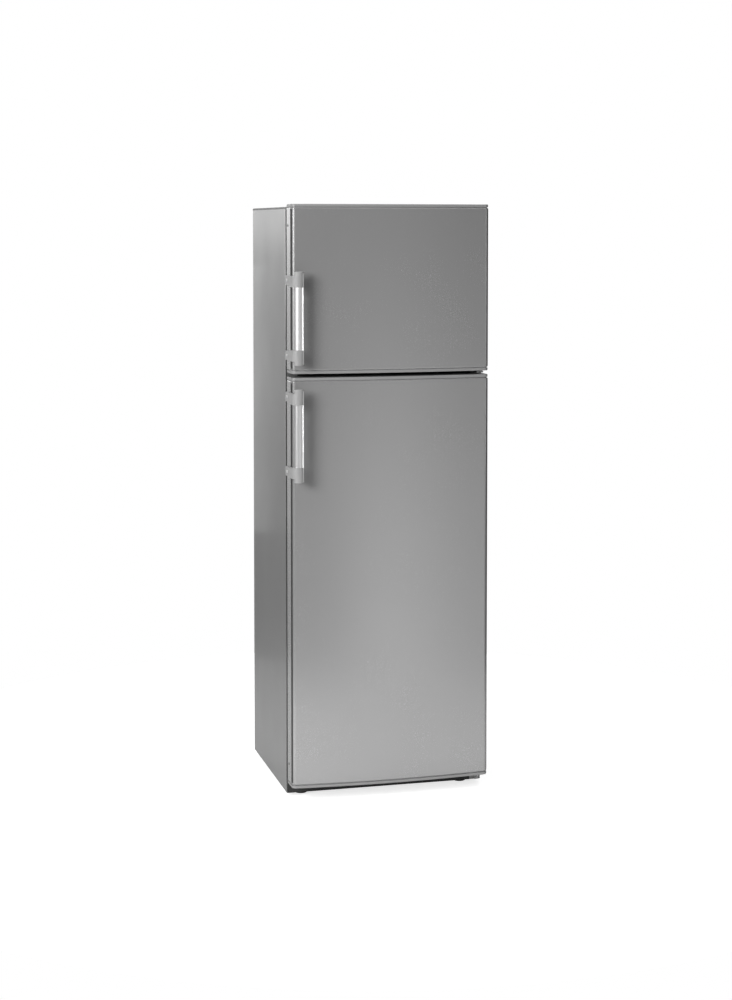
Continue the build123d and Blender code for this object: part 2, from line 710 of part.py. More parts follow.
def hinge_leg(z):
    x = (RIGHT - GASKET_INSET + HINGE_LEG, HINGE_X + HINGE_HALF_WIDTH)
    return block(x, (FRONT_Y - HINGE_LEG, FRONT_Y), z)


def top_hinge():
    return prism_z(hinge_plan(FRONT_Y + TOP_HINGE_LENGTH), (CABINET_TOP, CABINET_TOP + TOP_HINGE_PLATE))


def middle_hinge():
    plate = prism_z(hinge_plan(FRONT_Y), middle_hinge_z())
    return plate + hinge_leg((SPLIT_Z - HINGE_LEG_REACH, SPLIT_Z + HINGE_LEG_REACH))


def bottom_hinge():
    z = bottom_hinge_z()
    return prism_z(hinge_plan(FRONT_Y), z) + hinge_leg((SIDE_BOTTOM, z[1]))


def hinge_pins():
    spans = [
        (UPPER_DOOR[1] - hinge_sink() - PIN_DEPTH, CABINET_TOP + TOP_HINGE_PLATE),
        (LOWER_DOOR[1] - PIN_DEPTH, UPPER_DOOR[0] + PIN_DEPTH),
        (bottom_hinge_z()[0], LOWER_DOOR[0] + PIN_DEPTH),
    ]
    return group(upright(PIN_RADIUS, HINGE_X, HINGE_Y, span) for span in spans)


def hinge_cover():
    half = HINGE_HALF_WIDTH + HINGE_COVER_MARGIN
    x = (HINGE_X - half, HINGE_X + half)
    y = (FRONT_Y, FRONT_Y + TOP_HINGE_LENGTH + HINGE_COVER_MARGIN)
    z = (CABINET_TOP, CABINET_TOP + TOP_HINGE_PLATE + HINGE_COVER_WALL)
    cover = block(x, y, z)
    rear_corners = cover.edges().filter_by(Axis.Z).group_by(Axis.Y)[-1]
    cover = fillet(rear_corners, half / 2)
    arm_y = (FRONT_Y - THROUGH, FRONT_Y + TOP_HINGE_LENGTH)
    arm_x = (HINGE_X - HINGE_HALF_WIDTH, HINGE_X + HINGE_HALF_WIDTH)
    return cover - block(arm_x, arm_y, (z[0] - THROUGH, CABINET_TOP + TOP_HINGE_PLATE))


# Shelves, drawers and racks
def shelf_x(x):
    return inset(x, SHELF_SIDE_CLEARANCE)


def glass_shelf(x, y, level):
    plan = Pos((x[0] + x[1]) / 2, (y[0] + y[1]) / 2) * RectangleRounded(x[1] - x[0], y[1] - y[0], LINER_ROUND)
    return prism_z(plan, (level, level + GLASS))


def fridge_shelf(level):
    return glass_shelf(shelf_x(FRIDGE_X), (SHELF_FRONT_Y, FRIDGE_BACK_Y - SHELF_BACK_CLEARANCE), level)


def freezer_shelf():
    y = (FREEZER_SHELF_FRONT_Y, FREEZER_BACK_Y - SHELF_BACK_CLEARANCE)
    return glass_shelf(shelf_x(FREEZER_X), y, FREEZER_SHELF_Z)


def shelf_trim(x, y_front, level):
    y = (y_front - TRIM_WALL, y_front + TRIM_DEPTH)
    strip = block(x, y, (level - TRIM_WALL, level + GLASS + TRIM_WALL))
    strip = fillet(strip.faces().sort_by(Axis.Y)[0].edges().filter_by(Axis.X), TRIM_WALL)
    slot = block(
        inset(x, -THROUGH), (y_front, y[1] + THROUGH), (level - TRIM_FIT, level + GLASS + TRIM_FIT)
    )
    return strip - slot


def shelf_trims():
    strips = [shelf_trim(shelf_x(FRIDGE_X), SHELF_FRONT_Y, level) for level in SHELF_LEVELS]
    strips.append(shelf_trim(shelf_x(FREEZER_X), FREEZER_SHELF_FRONT_Y, FREEZER_SHELF_Z))
    return group(strips)


def open_box(x, y, z, wall, corner, base):
    def rounded(margin, levels):
        size = (x[1] - x[0] - 2 * margin, y[1] - y[0] - 2 * margin)
        plan = Pos((x[0] + x[1]) / 2, (y[0] + y[1]) / 2) * RectangleRounded(*size, corner - margin)
        solid = prism_z(plan, levels)
        return fillet(solid.faces().sort_by(Axis.Z)[0].edges(), base - margin)

    return rounded(0, z) - rounded(wall, (z[0] + wall, z[1] + THROUGH))


def crisper_drawer(x):
    y = (DRAWER_FRONT_Y, HUMP_Y - DRAWER_BACK_CLEARANCE)
    z = DRAWER_Z
    drawer = open_box(x, y, z, DRAWER_WALL, DRAWER_CORNER, DRAWER_BASE_ROUND)
    grip = block(inset(x, DRAWER_CORNER), (y[0] - DRAWER_LIP, y[0]), (z[1] - DRAWER_LIP_DROP, z[1]))
    grip = fillet(grip.edges().filter_by(Axis.X).group_by(Axis.Y)[0], DRAWER_LIP / 3)
    finger = block(
        inset(x, DRAWER_CORNER + DRAWER_WALL),
        (y[0] - DRAWER_LIP + DRAWER_WALL, y[0]),
        (z[1] - DRAWER_LIP_DROP - THROUGH, z[1] - DRAWER_WALL),
    )
    return drawer + (grip - finger)


def left_drawer_x():
    return (FRIDGE_X[0] + DRAWER_SIDE_CLEARANCE, -DRAWER_SIDE_CLEARANCE / 2)


def rack_span(opening_x):
    return inset(opening_x, DIKE_CLEARANCE + DIKE_WIDTH + RACK_CLEARANCE)


def door_rack(opening_x, low, height, depth):
    y = (DOOR_BACK_Y + RACK_CLEARANCE, DOOR_BACK_Y + depth)
    return open_box(rack_span(opening_x), y, (low, low + height), RACK_WALL, RACK_CORNER, RACK_BASE_ROUND)


def dike_floor(opening_z):
    return opening_z[0] + DIKE_CLEARANCE + DIKE_WIDTH


def freezer_door_rack():
    low = dike_floor(FREEZER_Z) + FREEZER_RACK_RISE
    return door_rack(FREEZER_X, low, FREEZER_RACK_HEIGHT, FREEZER_RACK_DEPTH)


def bottle_rack():
    low = dike_floor(FRIDGE_Z) + BOTTLE_RACK_RISE
    return door_rack(FRIDGE_X, low, BOTTLE_RACK_HEIGHT, BOTTLE_RACK_DEPTH)


def jar_rack():
    low = dike_floor(FRIDGE_Z) + JAR_RACK_RISE
    return door_rack(FRIDGE_X, low, JAR_RACK_HEIGHT, JAR_RACK_DEPTH)


def dairy_z():
    low = FRIDGE_Z[1] - DAIRY_DROP
    return (low, low + DAIRY_HEIGHT)


def lid_axis():
    """Place of the lid's hinge line: its Y and Z."""
    y = DOOR_BACK_Y + RACK_CLEARANCE + RACK_CORNER + LID_KNUCKLE
    return (y, dairy_z()[1] - LID_KNUCKLE - LID_TOP_CLEARANCE)


def lid_x():
    return inset(rack_span(FRIDGE_X), RACK_WALL + LID_SIDE_CLEARANCE)


def dairy_box():
    tray = door_rack(FRIDGE_X, dairy_z()[0], DAIRY_HEIGHT, DAIRY_DEPTH)
    x = rack_span(FRIDGE_X)
    y = (DOOR_BACK_Y + DAIRY_DEPTH - RACK_CORNER, DOOR_BACK_Y + DAIRY_DEPTH + THROUGH)
    low_front = dairy_z()[1] - LID_FRONT
    tray -= block(inset(x, -THROUGH), y, (low_front, dairy_z()[1] + THROUGH))
    axis_y, axis_z = lid_axis()
    return tray - along_x(LID_PEG + LID_PEG_FIT, inset(x, -THROUGH), axis_y, axis_z)


def dairy_lid():
    axis_y, axis_z = lid_axis()
    x = lid_x()
    front = DOOR_BACK_Y + DAIRY_DEPTH
    top = axis_z + LID_SHEET / 2
    foot = dairy_z()[1] - LID_FRONT + LID_TOP_CLEARANCE
    path = FilletPolyline((axis_y, top), (front, top), (front, foot), radius=RACK_CORNER)
    lid = prism_x(make_face(path.offset_2d(LID_SHEET, side=Side.RIGHT)), x)
    lid += along_x(LID_KNUCKLE, x, axis_y, axis_z)
    return lid + along_x(LID_PEG, rack_span(FRIDGE_X), axis_y, axis_z)


# Controls
def panel_y():
    return (FRONT_Y + PANEL_SETBACK, FRONT_Y + PANEL_SETBACK + PANEL_DEPTH)


def panel_z():
    return (FRIDGE_Z[1] - PANEL_HEIGHT, FRIDGE_Z[1])


def control_panel():
    x = (-PANEL_WIDTH / 2, PANEL_WIDTH / 2)
    housing = block(x, panel_y(), panel_z())
    housing = fillet(housing.faces().sort_by(Axis.Z)[0].edges(), PANEL_ROUND)
    bore_y = (panel_y()[0] - THROUGH, panel_y()[0] + KNOB_SHAFT_LENGTH + KNOB_GAP)
    return housing - along_y(KNOB_SHAFT + KNOB_FIT, KNOB_OFFSET, bore_y, knob_z())


def knob_z():
    return FRIDGE_Z[1] - PANEL_HEIGHT / 2


def temperature_knob():
    seat = panel_y()[0] - KNOB_GAP
    dial = along_y(KNOB_RADIUS, KNOB_OFFSET, (seat - KNOB_DEPTH / 2, seat), knob_z())
    grip = block(
        (KNOB_OFFSET - KNOB_GRIP / 2, KNOB_OFFSET + KNOB_GRIP / 2),
        (seat - KNOB_DEPTH, seat - KNOB_DEPTH / 2),
        inset((knob_z() - KNOB_RADIUS, knob_z() + KNOB_RADIUS), KNOB_GRIP_MARGIN),
    )
    shaft = along_y(KNOB_SHAFT, KNOB_OFFSET, (seat - KNOB_GAP, panel_y()[0] + KNOB_SHAFT_LENGTH), knob_z())
    return dial + grip + shaft


def lamp_cover():
    x = (-LAMP_WIDTH / 2, LAMP_WIDTH / 2)
    middle = (panel_y()[0] + panel_y()[1]) / 2
    y = (middle - LAMP_DEPTH / 2, middle + LAMP_DEPTH / 2)
    z = (panel_z()[0] - LAMP_HEIGHT, panel_z()[0])
    shell = block(x, y, z)
    shell = fillet(shell.faces().sort_by(Axis.Z)[0].edges(), LAMP_HEIGHT / 2)
    return shell - block(inset(x, LAMP_HEIGHT / 2), inset(y, LAMP_HEIGHT / 2), (z[0] + LAMP_WALL, z[1] + THROUGH))


# Feet and rollers
def levelling_foot(place):
    x, y = place
    pad = upright(FOOT_RADIUS, x, y, (0, FOOT_PAD))
    pad = fillet(pad.edges().filter_by(GeomType.CIRCLE).sort_by(Axis.Z)[-1], FOOT_ROUND)
    return pad + upright(STEM_RADIUS, x, y, (FOOT_PAD, BASE_HEIGHT))


def roller_place():
    return (RIGHT - ROLLER_SIDE, BACK_Y - ROLLER_SETBACK)


def rear_roller():
    x, y = roller_place()
    span = (x - ROLLER_WIDTH / 2, x + ROLLER_WIDTH / 2)
    wheel = along_x(ROLLER_RADIUS, span, y, ROLLER_RADIUS)
    wheel = fillet(wheel.edges().filter_by(GeomType.CIRCLE), ROLLER_ROUND)
    return wheel - along_x(AXLE_RADIUS + AXLE_FIT, inset(span, -THROUGH), y, ROLLER_RADIUS)


def roller_bracket():
    x, y = roller_place()
    reach = ROLLER_WIDTH / 2 + CHEEK_GAP
    under = RAIL_TOP - RAIL_WALL
    plan = make_face(
        Polyline(
            (y - CHEEK_HALF, ROLLER_RADIUS),
            (y - CHEEK_HALF, under),
            (y + CHEEK_HALF, under),
            (y + CHEEK_HALF, ROLLER_RADIUS),
            close=True,
        )
    ) + Pos(y, ROLLER_RADIUS) * Circle(CHEEK_HALF)
    cheeks = prism_x(plan, (x - reach - CHEEK, x - reach)) + prism_x(plan, (x + reach, x + reach + CHEEK))
    crown = block((x - reach, x + reach), (y - CHEEK_HALF, y + CHEEK_HALF), (under - CHEEK, under))
    axle = along_x(AXLE_RADIUS, (x - reach - CHEEK, x + reach + CHEEK), y, ROLLER_RADIUS)
    return cheeks + crown + axle


# Cooling machinery
def compressor_rail():
    plate = block(INSIDE_X, RAIL_Y, (RAIL_TOP - RAIL_WALL, RAIL_TOP))
    for y in (RAIL_Y[0], RAIL_Y[1] - RAIL_WALL):
        plate += block(inset(INSIDE_X, FOOT_SIDE), (y, y + RAIL_WALL), (RAIL_TOP - RAIL_FLANGE, RAIL_TOP))
    return plate


def mount_places():
    return [
        (COMPRESSOR_X + sx * MOUNT_SPACING_X / 2, COMPRESSOR_Y + sy * MOUNT_SPACING_Y / 2)
        for sx in (-1, 1)
        for sy in (-1, 1)
    ]


def compressor_mounts():
    return group(upright(MOUNT_RADIUS, x, y, (RAIL_TOP, RAIL_TOP + MOUNT_HEIGHT)) for x, y in mount_places())


def compressor():
    middle = (COMPRESSOR_X, COMPRESSOR_Y)
    plan = Pos(*middle) * Ellipse(COMPRESSOR_HALF_WIDTH, COMPRESSOR_HALF_DEPTH)
    shell = prism_z(plan, (COMPRESSOR_Z, COMPRESSOR_TOP))
    shell = fillet(shell.edges().group_by(Axis.Z)[-1], COMPRESSOR_ROUND)
    bead = Pos(*middle) * Ellipse(COMPRESSOR_HALF_WIDTH + COMPRESSOR_BEAD, COMPRESSOR_HALF_DEPTH + COMPRESSOR_BEAD)
    shell += prism_z(bead, (COMPRESSOR_WAIST - COMPRESSOR_BEAD / 2, COMPRESSOR_WAIST + COMPRESSOR_BEAD / 2))
    foot_size = (MOUNT_SPACING_X + 2 * MOUNT_RADIUS, MOUNT_SPACING_Y + 2 * MOUNT_RADIUS)
    foot = Pos(*middle) * RectangleRounded(*foot_size, COMPRESSOR_FOOT_CORNER)
    shell += prism_z(foot, (COMPRESSOR_Z - COMPRESSOR_FOOT_PLATE, COMPRESSOR_Z))
    side = COMPRESSOR_X - COMPRESSOR_HALF_WIDTH
    starter = block(
        (side - STARTER_DEPTH + STARTER_SINK, side + STARTER_SINK),
        (COMPRESSOR_Y - STARTER_WIDTH / 2, COMPRESSOR_Y + STARTER_WIDTH / 2),
        (COMPRESSOR_WAIST - STARTER_HEIGHT / 2, COMPRESSOR_WAIST + STARTER_HEIGHT / 2),
    )
    starter = fillet(starter.edges(), STARTER_ROUND)
    return shell + starter


def drip_tray():
    x = (COMPRESSOR_X - TRAY_WIDTH / 2, COMPRESSOR_X + TRAY_WIDTH / 2)
    y = (COMPRESSOR_Y - TRAY_DEPTH / 2, COMPRESSOR_Y + TRAY_DEPTH / 2)
    z = (COMPRESSOR_TOP, COMPRESSOR_TOP + TRAY_HEIGHT)
    return open_box(x, y, z, TRAY_WALL, TRAY_CORNER, TRAY_BASE_ROUND)


def drain_tube():
    roof = NICHE_TOP - SHEET
    low = COMPRESSOR_TOP + TRAY_HEIGHT - DRAIN_DIP
    tube = upright(DRAIN_RADIUS, DRAIN_X, COMPRESSOR_Y, (low, roof))
    tube += upright(DRAIN_RADIUS + DRAIN_FLANGE, DRAIN_X, COMPRESSOR_Y, (roof - DRAIN_FLANGE, roof))
    return tube - upright(DRAIN_RADIUS - DRAIN_WALL, DRAIN_X, COMPRESSOR_Y, (low - THROUGH, roof - DRAIN_FLANGE))


def tube_along(points, bend, radius):
    path = FilletPolyline(*points, radius=bend)
    start = Plane(origin=path @ 0, z_dir=path % 0)
    return sweep(start * Circle(radius), path)


def condenser_points():
    points = []
    for run in range(CONDENSER_RUNS):
        z = CONDENSER_Z + CONDENSER_PITCH * run
        ends = (-CONDENSER_HALF_WIDTH, CONDENSER_HALF_WIDTH)
        for x in reversed(ends) if run % 2 == 0 else ends:
            points.append((x, CONDENSER_Y, z))
    return points


def condenser_tube():
    bend = CONDENSER_PITCH / 2 * BEND_SHARE
    return tube_along(condenser_points(), bend, TUBE_RADIUS)


def condenser_wires():
    z = (CONDENSER_Z - CONDENSER_PITCH / 4, CONDENSER_TOP + CONDENSER_PITCH / 4)
    near = CONDENSER_Y + TUBE_RADIUS + WIRE_GAP
    places = [-WIRE_SPAN + WIRE_STEP * wire for wire in range(WIRE_COUNT)]
    return group(block((x - WIRE / 2, x + WIRE / 2), (near, near + WIRE), z) for x in places)


def condenser_clips():
    clips = []
    for z in (CONDENSER_Z, CONDENSER_TOP):
        for x in (-CLIP_X, CLIP_X):
            reach = CONDENSER_Y - CLIP_FIT if z == CONDENSER_Z else WALL_Y
            clip = block(
                (x - CLIP_WIDTH / 2, x + CLIP_WIDTH / 2),
                (BACK_Y + SHEET, reach),
                (z - CLIP_HEIGHT / 2, z + CLIP_HEIGHT / 2),
            )
            span = (x - CLIP_WIDTH, x + CLIP_WIDTH)
            clips.append(clip - along_x(TUBE_RADIUS + CLIP_FIT, span, CONDENSER_Y, z))
    return group(clips)


def discharge_pipe(start_x):
    z = COMPRESSOR_WAIST - COMPRESSOR_BEAD - TUBE_RADIUS
    points = [
        (start_x, COMPRESSOR_Y, z),
        (PIPE_X, COMPRESSOR_Y, z),
        (PIPE_X, CONDENSER_Y, z),
        (PIPE_X, CONDENSER_Y, CONDENSER_Z),
        (CONDENSER_HALF_WIDTH, CONDENSER_Y, CONDENSER_Z),
    ]
    return tube_along(points, PIPE_BEND, TUBE_RADIUS)


def suction_pipe(start_x):
    z = COMPRESSOR_WAIST + COMPRESSOR_BEAD + TUBE_RADIUS
    turn = start_x + 2 * PIPE_BEND
    points = [(start_x, COMPRESSOR_Y, z), (turn, COMPRESSOR_Y, z), (turn, COMPRESSOR_Y, NICHE_TOP - SHEET)]
    return tube_along(points, PIPE_BEND, TUBE_RADIUS)


def liquid_pipe():
    """Line from the condenser's top end down to the filter drier, and the thin line on into the foam."""
    z = COMPRESSOR_WAIST
    drier_y = (COMPRESSOR_Y - DRIER_LENGTH / 2, COMPRESSOR_Y + DRIER_LENGTH / 2)
    down = [
        (-CONDENSER_HALF_WIDTH, CONDENSER_Y, CONDENSER_TOP),
        (-PIPE_X, CONDENSER_Y, CONDENSER_TOP),
        (-PIPE_X, CONDENSER_Y, z),
        (-PIPE_X, drier_y[1] - PIPE_LAP, z),
    ]
    far = drier_y[0] - PIPE_BEND
    up = [(-PIPE_X, drier_y[0] + PIPE_LAP, z), (-PIPE_X, far, z), (-PIPE_X, far, NICHE_TOP - SHEET)]
    drier = along_y(DRIER_RADIUS, -PIPE_X, drier_y, z)
    drier = fillet(drier.edges().filter_by(GeomType.CIRCLE), DRIER_TAPER)
    return tube_along(down, PIPE_BEND, TUBE_RADIUS) + drier + tube_along(up, PIPE_BEND - PIPE_LAP, TUBE_RADIUS)


def refrigerant_pipes():
    start_x = COMPRESSOR_X + COMPRESSOR_HALF_WIDTH + PIPE_CLEAR
    return group([discharge_pipe(start_x), suction_pipe(start_x), liquid_pipe()])


def build():
    left_panel = side_panel()
    left_drawer = crisper_drawer(left_drawer_x())
    roller_left = mirror(rear_roller(), about=Plane.YZ)
    feet = [levelling_foot(place) for place in foot_places()]
    shelves = [fridge_shelf(level) for level in SHELF_LEVELS]
    return {
        "left_side_panel": left_panel,
        "right_side_panel": mirror(left_panel, about=Plane.YZ),
        "top_panel": top_panel(),
        "back_panel": back_panel(),
        "base_panel": base_panel(),
        "plinth": plinth(),
        "insulation_foam": insulation_foam(),
        "freezer_liner": freezer_liner(),
        "fridge_liner": fridge_liner(),
        "divider_rail": divider_rail(),
        "evaporators": evaporators(),
        "top_hinge": top_hinge(),
        "middle_hinge": middle_hinge(),
        "bottom_hinge": bottom_hinge(),
        "hinge_pins": hinge_pins(),
        "hinge_cover": hinge_cover(),
        "roller_brackets": group(both_sides(roller_bracket())),
        "compressor": compressor(),
        "compressor_mounts": compressor_mounts(),
        "compressor_rail": compressor_rail(),
        "condenser_tube": condenser_tube(),
        "condenser_wires": condenser_wires(),
        "condenser_clips": condenser_clips(),
        "refrigerant_pipes": refrigerant_pipes(),
        "drip_tray": drip_tray(),
        "drain_tube": drain_tube(),
        "control_panel": control_panel(),
        "lamp_cover": lamp_cover(),
        "crisper_cover": shelves[0],
        "shelf_1": shelves[1],
        "shelf_2": shelves[2],
        "shelf_3": shelves[3],
        "freezer_shelf": freezer_shelf(),
        "shelf_trims": shelf_trims(),
        "temperature_knob": temperature_knob(),
        "levelling_foot_left": feet[0],
        "levelling_foot_right": feet[1],
        "rear_roller_left": roller_left,
        "rear_roller_right": rear_roller(),
        "crisper_drawer_left": left_drawer,
        "crisper_drawer_right": mirror(left_drawer, about=Plane.YZ),
        "freezer_door_skin": door_skin(UPPER_DOOR),
        "freezer_door_liner": door_liner(UPPER_DOOR, FREEZER_X, FREEZER_Z),
        "freezer_door_foam": door_foam(UPPER_DOOR, FREEZER_X, FREEZER_Z),
        "freezer_door_caps": freezer_door_caps(),
        "freezer_door_gasket": door_gasket(UPPER_DOOR),
        "freezer_door_rack": freezer_door_rack(),
        "freezer_handle_brackets": handle_brackets(upper_handle_z()),
        "freezer_handle_bar": handle_bar(upper_handle_z()),
        "fridge_door_skin": door_skin(LOWER_DOOR),
        "fridge_door_liner": door_liner(LOWER_DOOR, FRIDGE_X, FRIDGE_Z),
        "fridge_door_foam": door_foam(LOWER_DOOR, FRIDGE_X, FRIDGE_Z),
        "fridge_door_caps": fridge_door_caps(),
        "fridge_door_gasket": door_gasket(LOWER_DOOR),
        "bottle_rack": bottle_rack(),
        "jar_rack": jar_rack(),
        "dairy_box": dairy_box(),
        "dairy_lid": dairy_lid(),
        "fridge_handle_brackets": handle_brackets(lower_handle_z()),
        "fridge_handle_bar": handle_bar(lower_handle_z()),
    }


if __name__ == "__main__":
    os.makedirs("parts", exist_ok=True)
    for name, shape in build().items():
        export_step(shape, f"parts/{name}.step")
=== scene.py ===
import json
import math

import bmesh
import bpy
from mathutils import Matrix, Vector
from mathutils.geometry import interpolate_bezier


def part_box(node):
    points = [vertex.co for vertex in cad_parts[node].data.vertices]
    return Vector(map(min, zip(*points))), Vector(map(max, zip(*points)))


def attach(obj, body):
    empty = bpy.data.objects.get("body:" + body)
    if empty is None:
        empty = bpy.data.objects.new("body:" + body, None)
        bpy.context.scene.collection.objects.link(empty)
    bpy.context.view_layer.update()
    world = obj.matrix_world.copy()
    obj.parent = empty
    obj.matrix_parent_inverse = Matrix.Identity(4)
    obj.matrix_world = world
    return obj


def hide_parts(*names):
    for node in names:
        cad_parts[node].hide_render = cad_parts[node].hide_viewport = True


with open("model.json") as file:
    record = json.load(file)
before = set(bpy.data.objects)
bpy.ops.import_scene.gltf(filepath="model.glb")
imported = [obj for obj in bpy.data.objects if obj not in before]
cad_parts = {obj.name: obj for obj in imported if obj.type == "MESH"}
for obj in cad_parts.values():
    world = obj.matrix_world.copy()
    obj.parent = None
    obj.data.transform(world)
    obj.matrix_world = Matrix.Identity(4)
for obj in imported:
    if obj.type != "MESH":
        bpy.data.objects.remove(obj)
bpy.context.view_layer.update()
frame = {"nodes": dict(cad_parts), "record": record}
nodes = frame["nodes"]
scene = bpy.context.scene
scene.view_settings.view_transform = "Standard"
scene.view_settings.look = "None"

MM = 0.001
DOORS = ("freezer", "fridge")
SIDES = ("left", "right")
LEFT, RIGHT = (-1, 0, 0), (1, 0, 0)
FRONT, BACK = (0, -1, 0), (0, 1, 0)
UP = (0, 0, 1)


# Node groups that several finishes share
def shader_group(name, inputs, outputs):
    tree = bpy.data.node_groups.new(name, "ShaderNodeTree")
    for label, kind, value in inputs:
        socket = tree.interface.new_socket(label, in_out="INPUT", socket_type=kind)
        if value is not None:
            socket.default_value = value
    for label, kind in outputs:
        tree.interface.new_socket(label, in_out="OUTPUT", socket_type=kind)
    return tree, tree.nodes.new("NodeGroupInput"), tree.nodes.new("NodeGroupOutput")


def grain_group():
    """Noise in the piece's own coordinates, stretched along an axis for brushed metal."""
    tree, given, result = shader_group(
        "surface_grain",
        [
            ("Vector", "NodeSocketVector", None),
            ("Stretch", "NodeSocketVector", (1.0, 1.0, 1.0)),
            ("Scale", "NodeSocketFloat", 400.0),
            ("Detail", "NodeSocketFloat", 3.0),
            ("Contrast", "NodeSocketFloat", 0.25),
        ],
        [("Mask", "NodeSocketFloat")],
    )
    stretch = tree.nodes.new("ShaderNodeVectorMath")
    stretch.operation = "MULTIPLY"
    noise = tree.nodes.new("ShaderNodeTexNoise")
    low = tree.nodes.new("ShaderNodeMath")
    low.operation = "SUBTRACT"
    low.inputs[0].default_value = 0.5
    high = tree.nodes.new("ShaderNodeMath")
    high.inputs[0].default_value = 0.5
    spread = tree.nodes.new("ShaderNodeMapRange")
    link = tree.links.new
    link(given.outputs["Vector"], stretch.inputs[0])
    link(given.outputs["Stretch"], stretch.inputs[1])
    link(stretch.outputs[0], noise.inputs["Vector"])
    link(given.outputs["Scale"], noise.inputs["Scale"])
    link(given.outputs["Detail"], noise.inputs["Detail"])
    link(given.outputs["Contrast"], low.inputs[1])
    link(given.outputs["Contrast"], high.inputs[1])
    link(noise.outputs["Fac"], spread.inputs["Value"])
    link(low.outputs[0], spread.inputs["From Min"])
    link(high.outputs[0], spread.inputs["From Max"])
    link(spread.outputs["Result"], result.inputs["Mask"])
    return tree


def dust_group():
    """Mask of settled dust: faces that look up, broken up by soft patches."""
    tree, given, result = shader_group(
        "settled_dust",
        [
            ("Vector", "NodeSocketVector", None),
            ("Scale", "NodeSocketFloat", 30.0),
            ("Amount", "NodeSocketFloat", 0.4),
        ],
        [("Mask", "NodeSocketFloat")],
    )
    geometry = tree.nodes.new("ShaderNodeNewGeometry")
    parts = tree.nodes.new("ShaderNodeSeparateXYZ")
    facing = tree.nodes.new("ShaderNodeMapRange")
    facing.inputs["From Min"].default_value = 0.2
    noise = tree.nodes.new("ShaderNodeTexNoise")
    noise.inputs["Detail"].default_value = 5.0
    patches = tree.nodes.new("ShaderNodeMapRange")
    patches.inputs["From Min"].default_value = 0.35
    patches.inputs["From Max"].default_value = 0.7
    both = tree.nodes.new("ShaderNodeMath")
    both.operation = "MULTIPLY"
    amount = tree.nodes.new("ShaderNodeMath")
    amount.operation = "MULTIPLY"
    link = tree.links.new
    link(geometry.outputs["Normal"], parts.inputs[0])
    link(parts.outputs["Z"], facing.inputs["Value"])
    link(given.outputs["Vector"], noise.inputs["Vector"])
    link(given.outputs["Scale"], noise.inputs["Scale"])
    link(noise.outputs["Fac"], patches.inputs["Value"])
    link(facing.outputs["Result"], both.inputs[0])
    link(patches.outputs["Result"], both.inputs[1])
    link(both.outputs[0], amount.inputs[0])
    link(given.outputs["Amount"], amount.inputs[1])
    link(amount.outputs[0], result.inputs["Mask"])
    return tree


GRAIN = grain_group()
DUST = dust_group()
DUST_COLOUR = (0.42, 0.41, 0.39, 1)


# Materials
EVEN = (1, 1, 1)
BRUSH_ACROSS = (0.03, 1, 1)
BRUSH_UP = (1, 1, 0.03)
SHORT_BRUSH = (0.25, 1, 1)
TRIM_DRAWN = (0.1, 1, 1)
BAR_DRAWN = (1, 1, 0.002)
BROAD_DETAIL = 2.0
BROAD_CONTRAST = 0.3
CLEAR_BUMP = 0.15
CLEAR_DEPTH = 0.04 * MM
CLEAR_IOR = 1.49
FINISHES = {}


def new_finish(name):
    """A material kept under its name, with its shader and the piece's own coordinates."""
    material = bpy.data.materials.new(name)
    material.use_nodes = True
    FINISHES[name] = material
    tree = material.node_tree
    return tree, tree.nodes["Principled BSDF"], tree.nodes.new("ShaderNodeTexCoord").outputs["Object"]


def grain(tree, vector, stretch, scale, detail=3.0, contrast=0.25):
    node = tree.nodes.new("ShaderNodeGroup")
    node.node_tree = GRAIN
    node.inputs["Stretch"].default_value = stretch
    node.inputs["Scale"].default_value = scale
    node.inputs["Detail"].default_value = detail
    node.inputs["Contrast"].default_value = contrast
    tree.links.new(vector, node.inputs["Vector"])
    return node.outputs["Mask"]


def mix_colour(tree, mask, a, b):
    mix = tree.nodes.new("ShaderNodeMix")
    mix.data_type = "RGBA"
    tree.links.new(mask, mix.inputs["Factor"])
    for value, socket in ((a, mix.inputs[6]), (b, mix.inputs[7])):
        if isinstance(value, tuple):
            socket.default_value = value
        else:
            tree.links.new(value, socket)
    return mix.outputs[2]


def spread(tree, mask, low, high):
    node = tree.nodes.new("ShaderNodeMapRange")
    node.inputs["To Min"].default_value = low
    node.inputs["To Max"].default_value = high
    tree.links.new(mask, node.inputs["Value"])
    return node.outputs["Result"]


def bump(tree, height, strength, distance):
    node = tree.nodes.new("ShaderNodeBump")
    node.inputs["Strength"].default_value = strength
    node.inputs["Distance"].default_value = distance
    tree.links.new(height, node.inputs["Height"])
    return node.outputs["Normal"]


def grey(level, warm=0.0):
    return (level * (1 + warm), level, level * (1 - warm), 1)


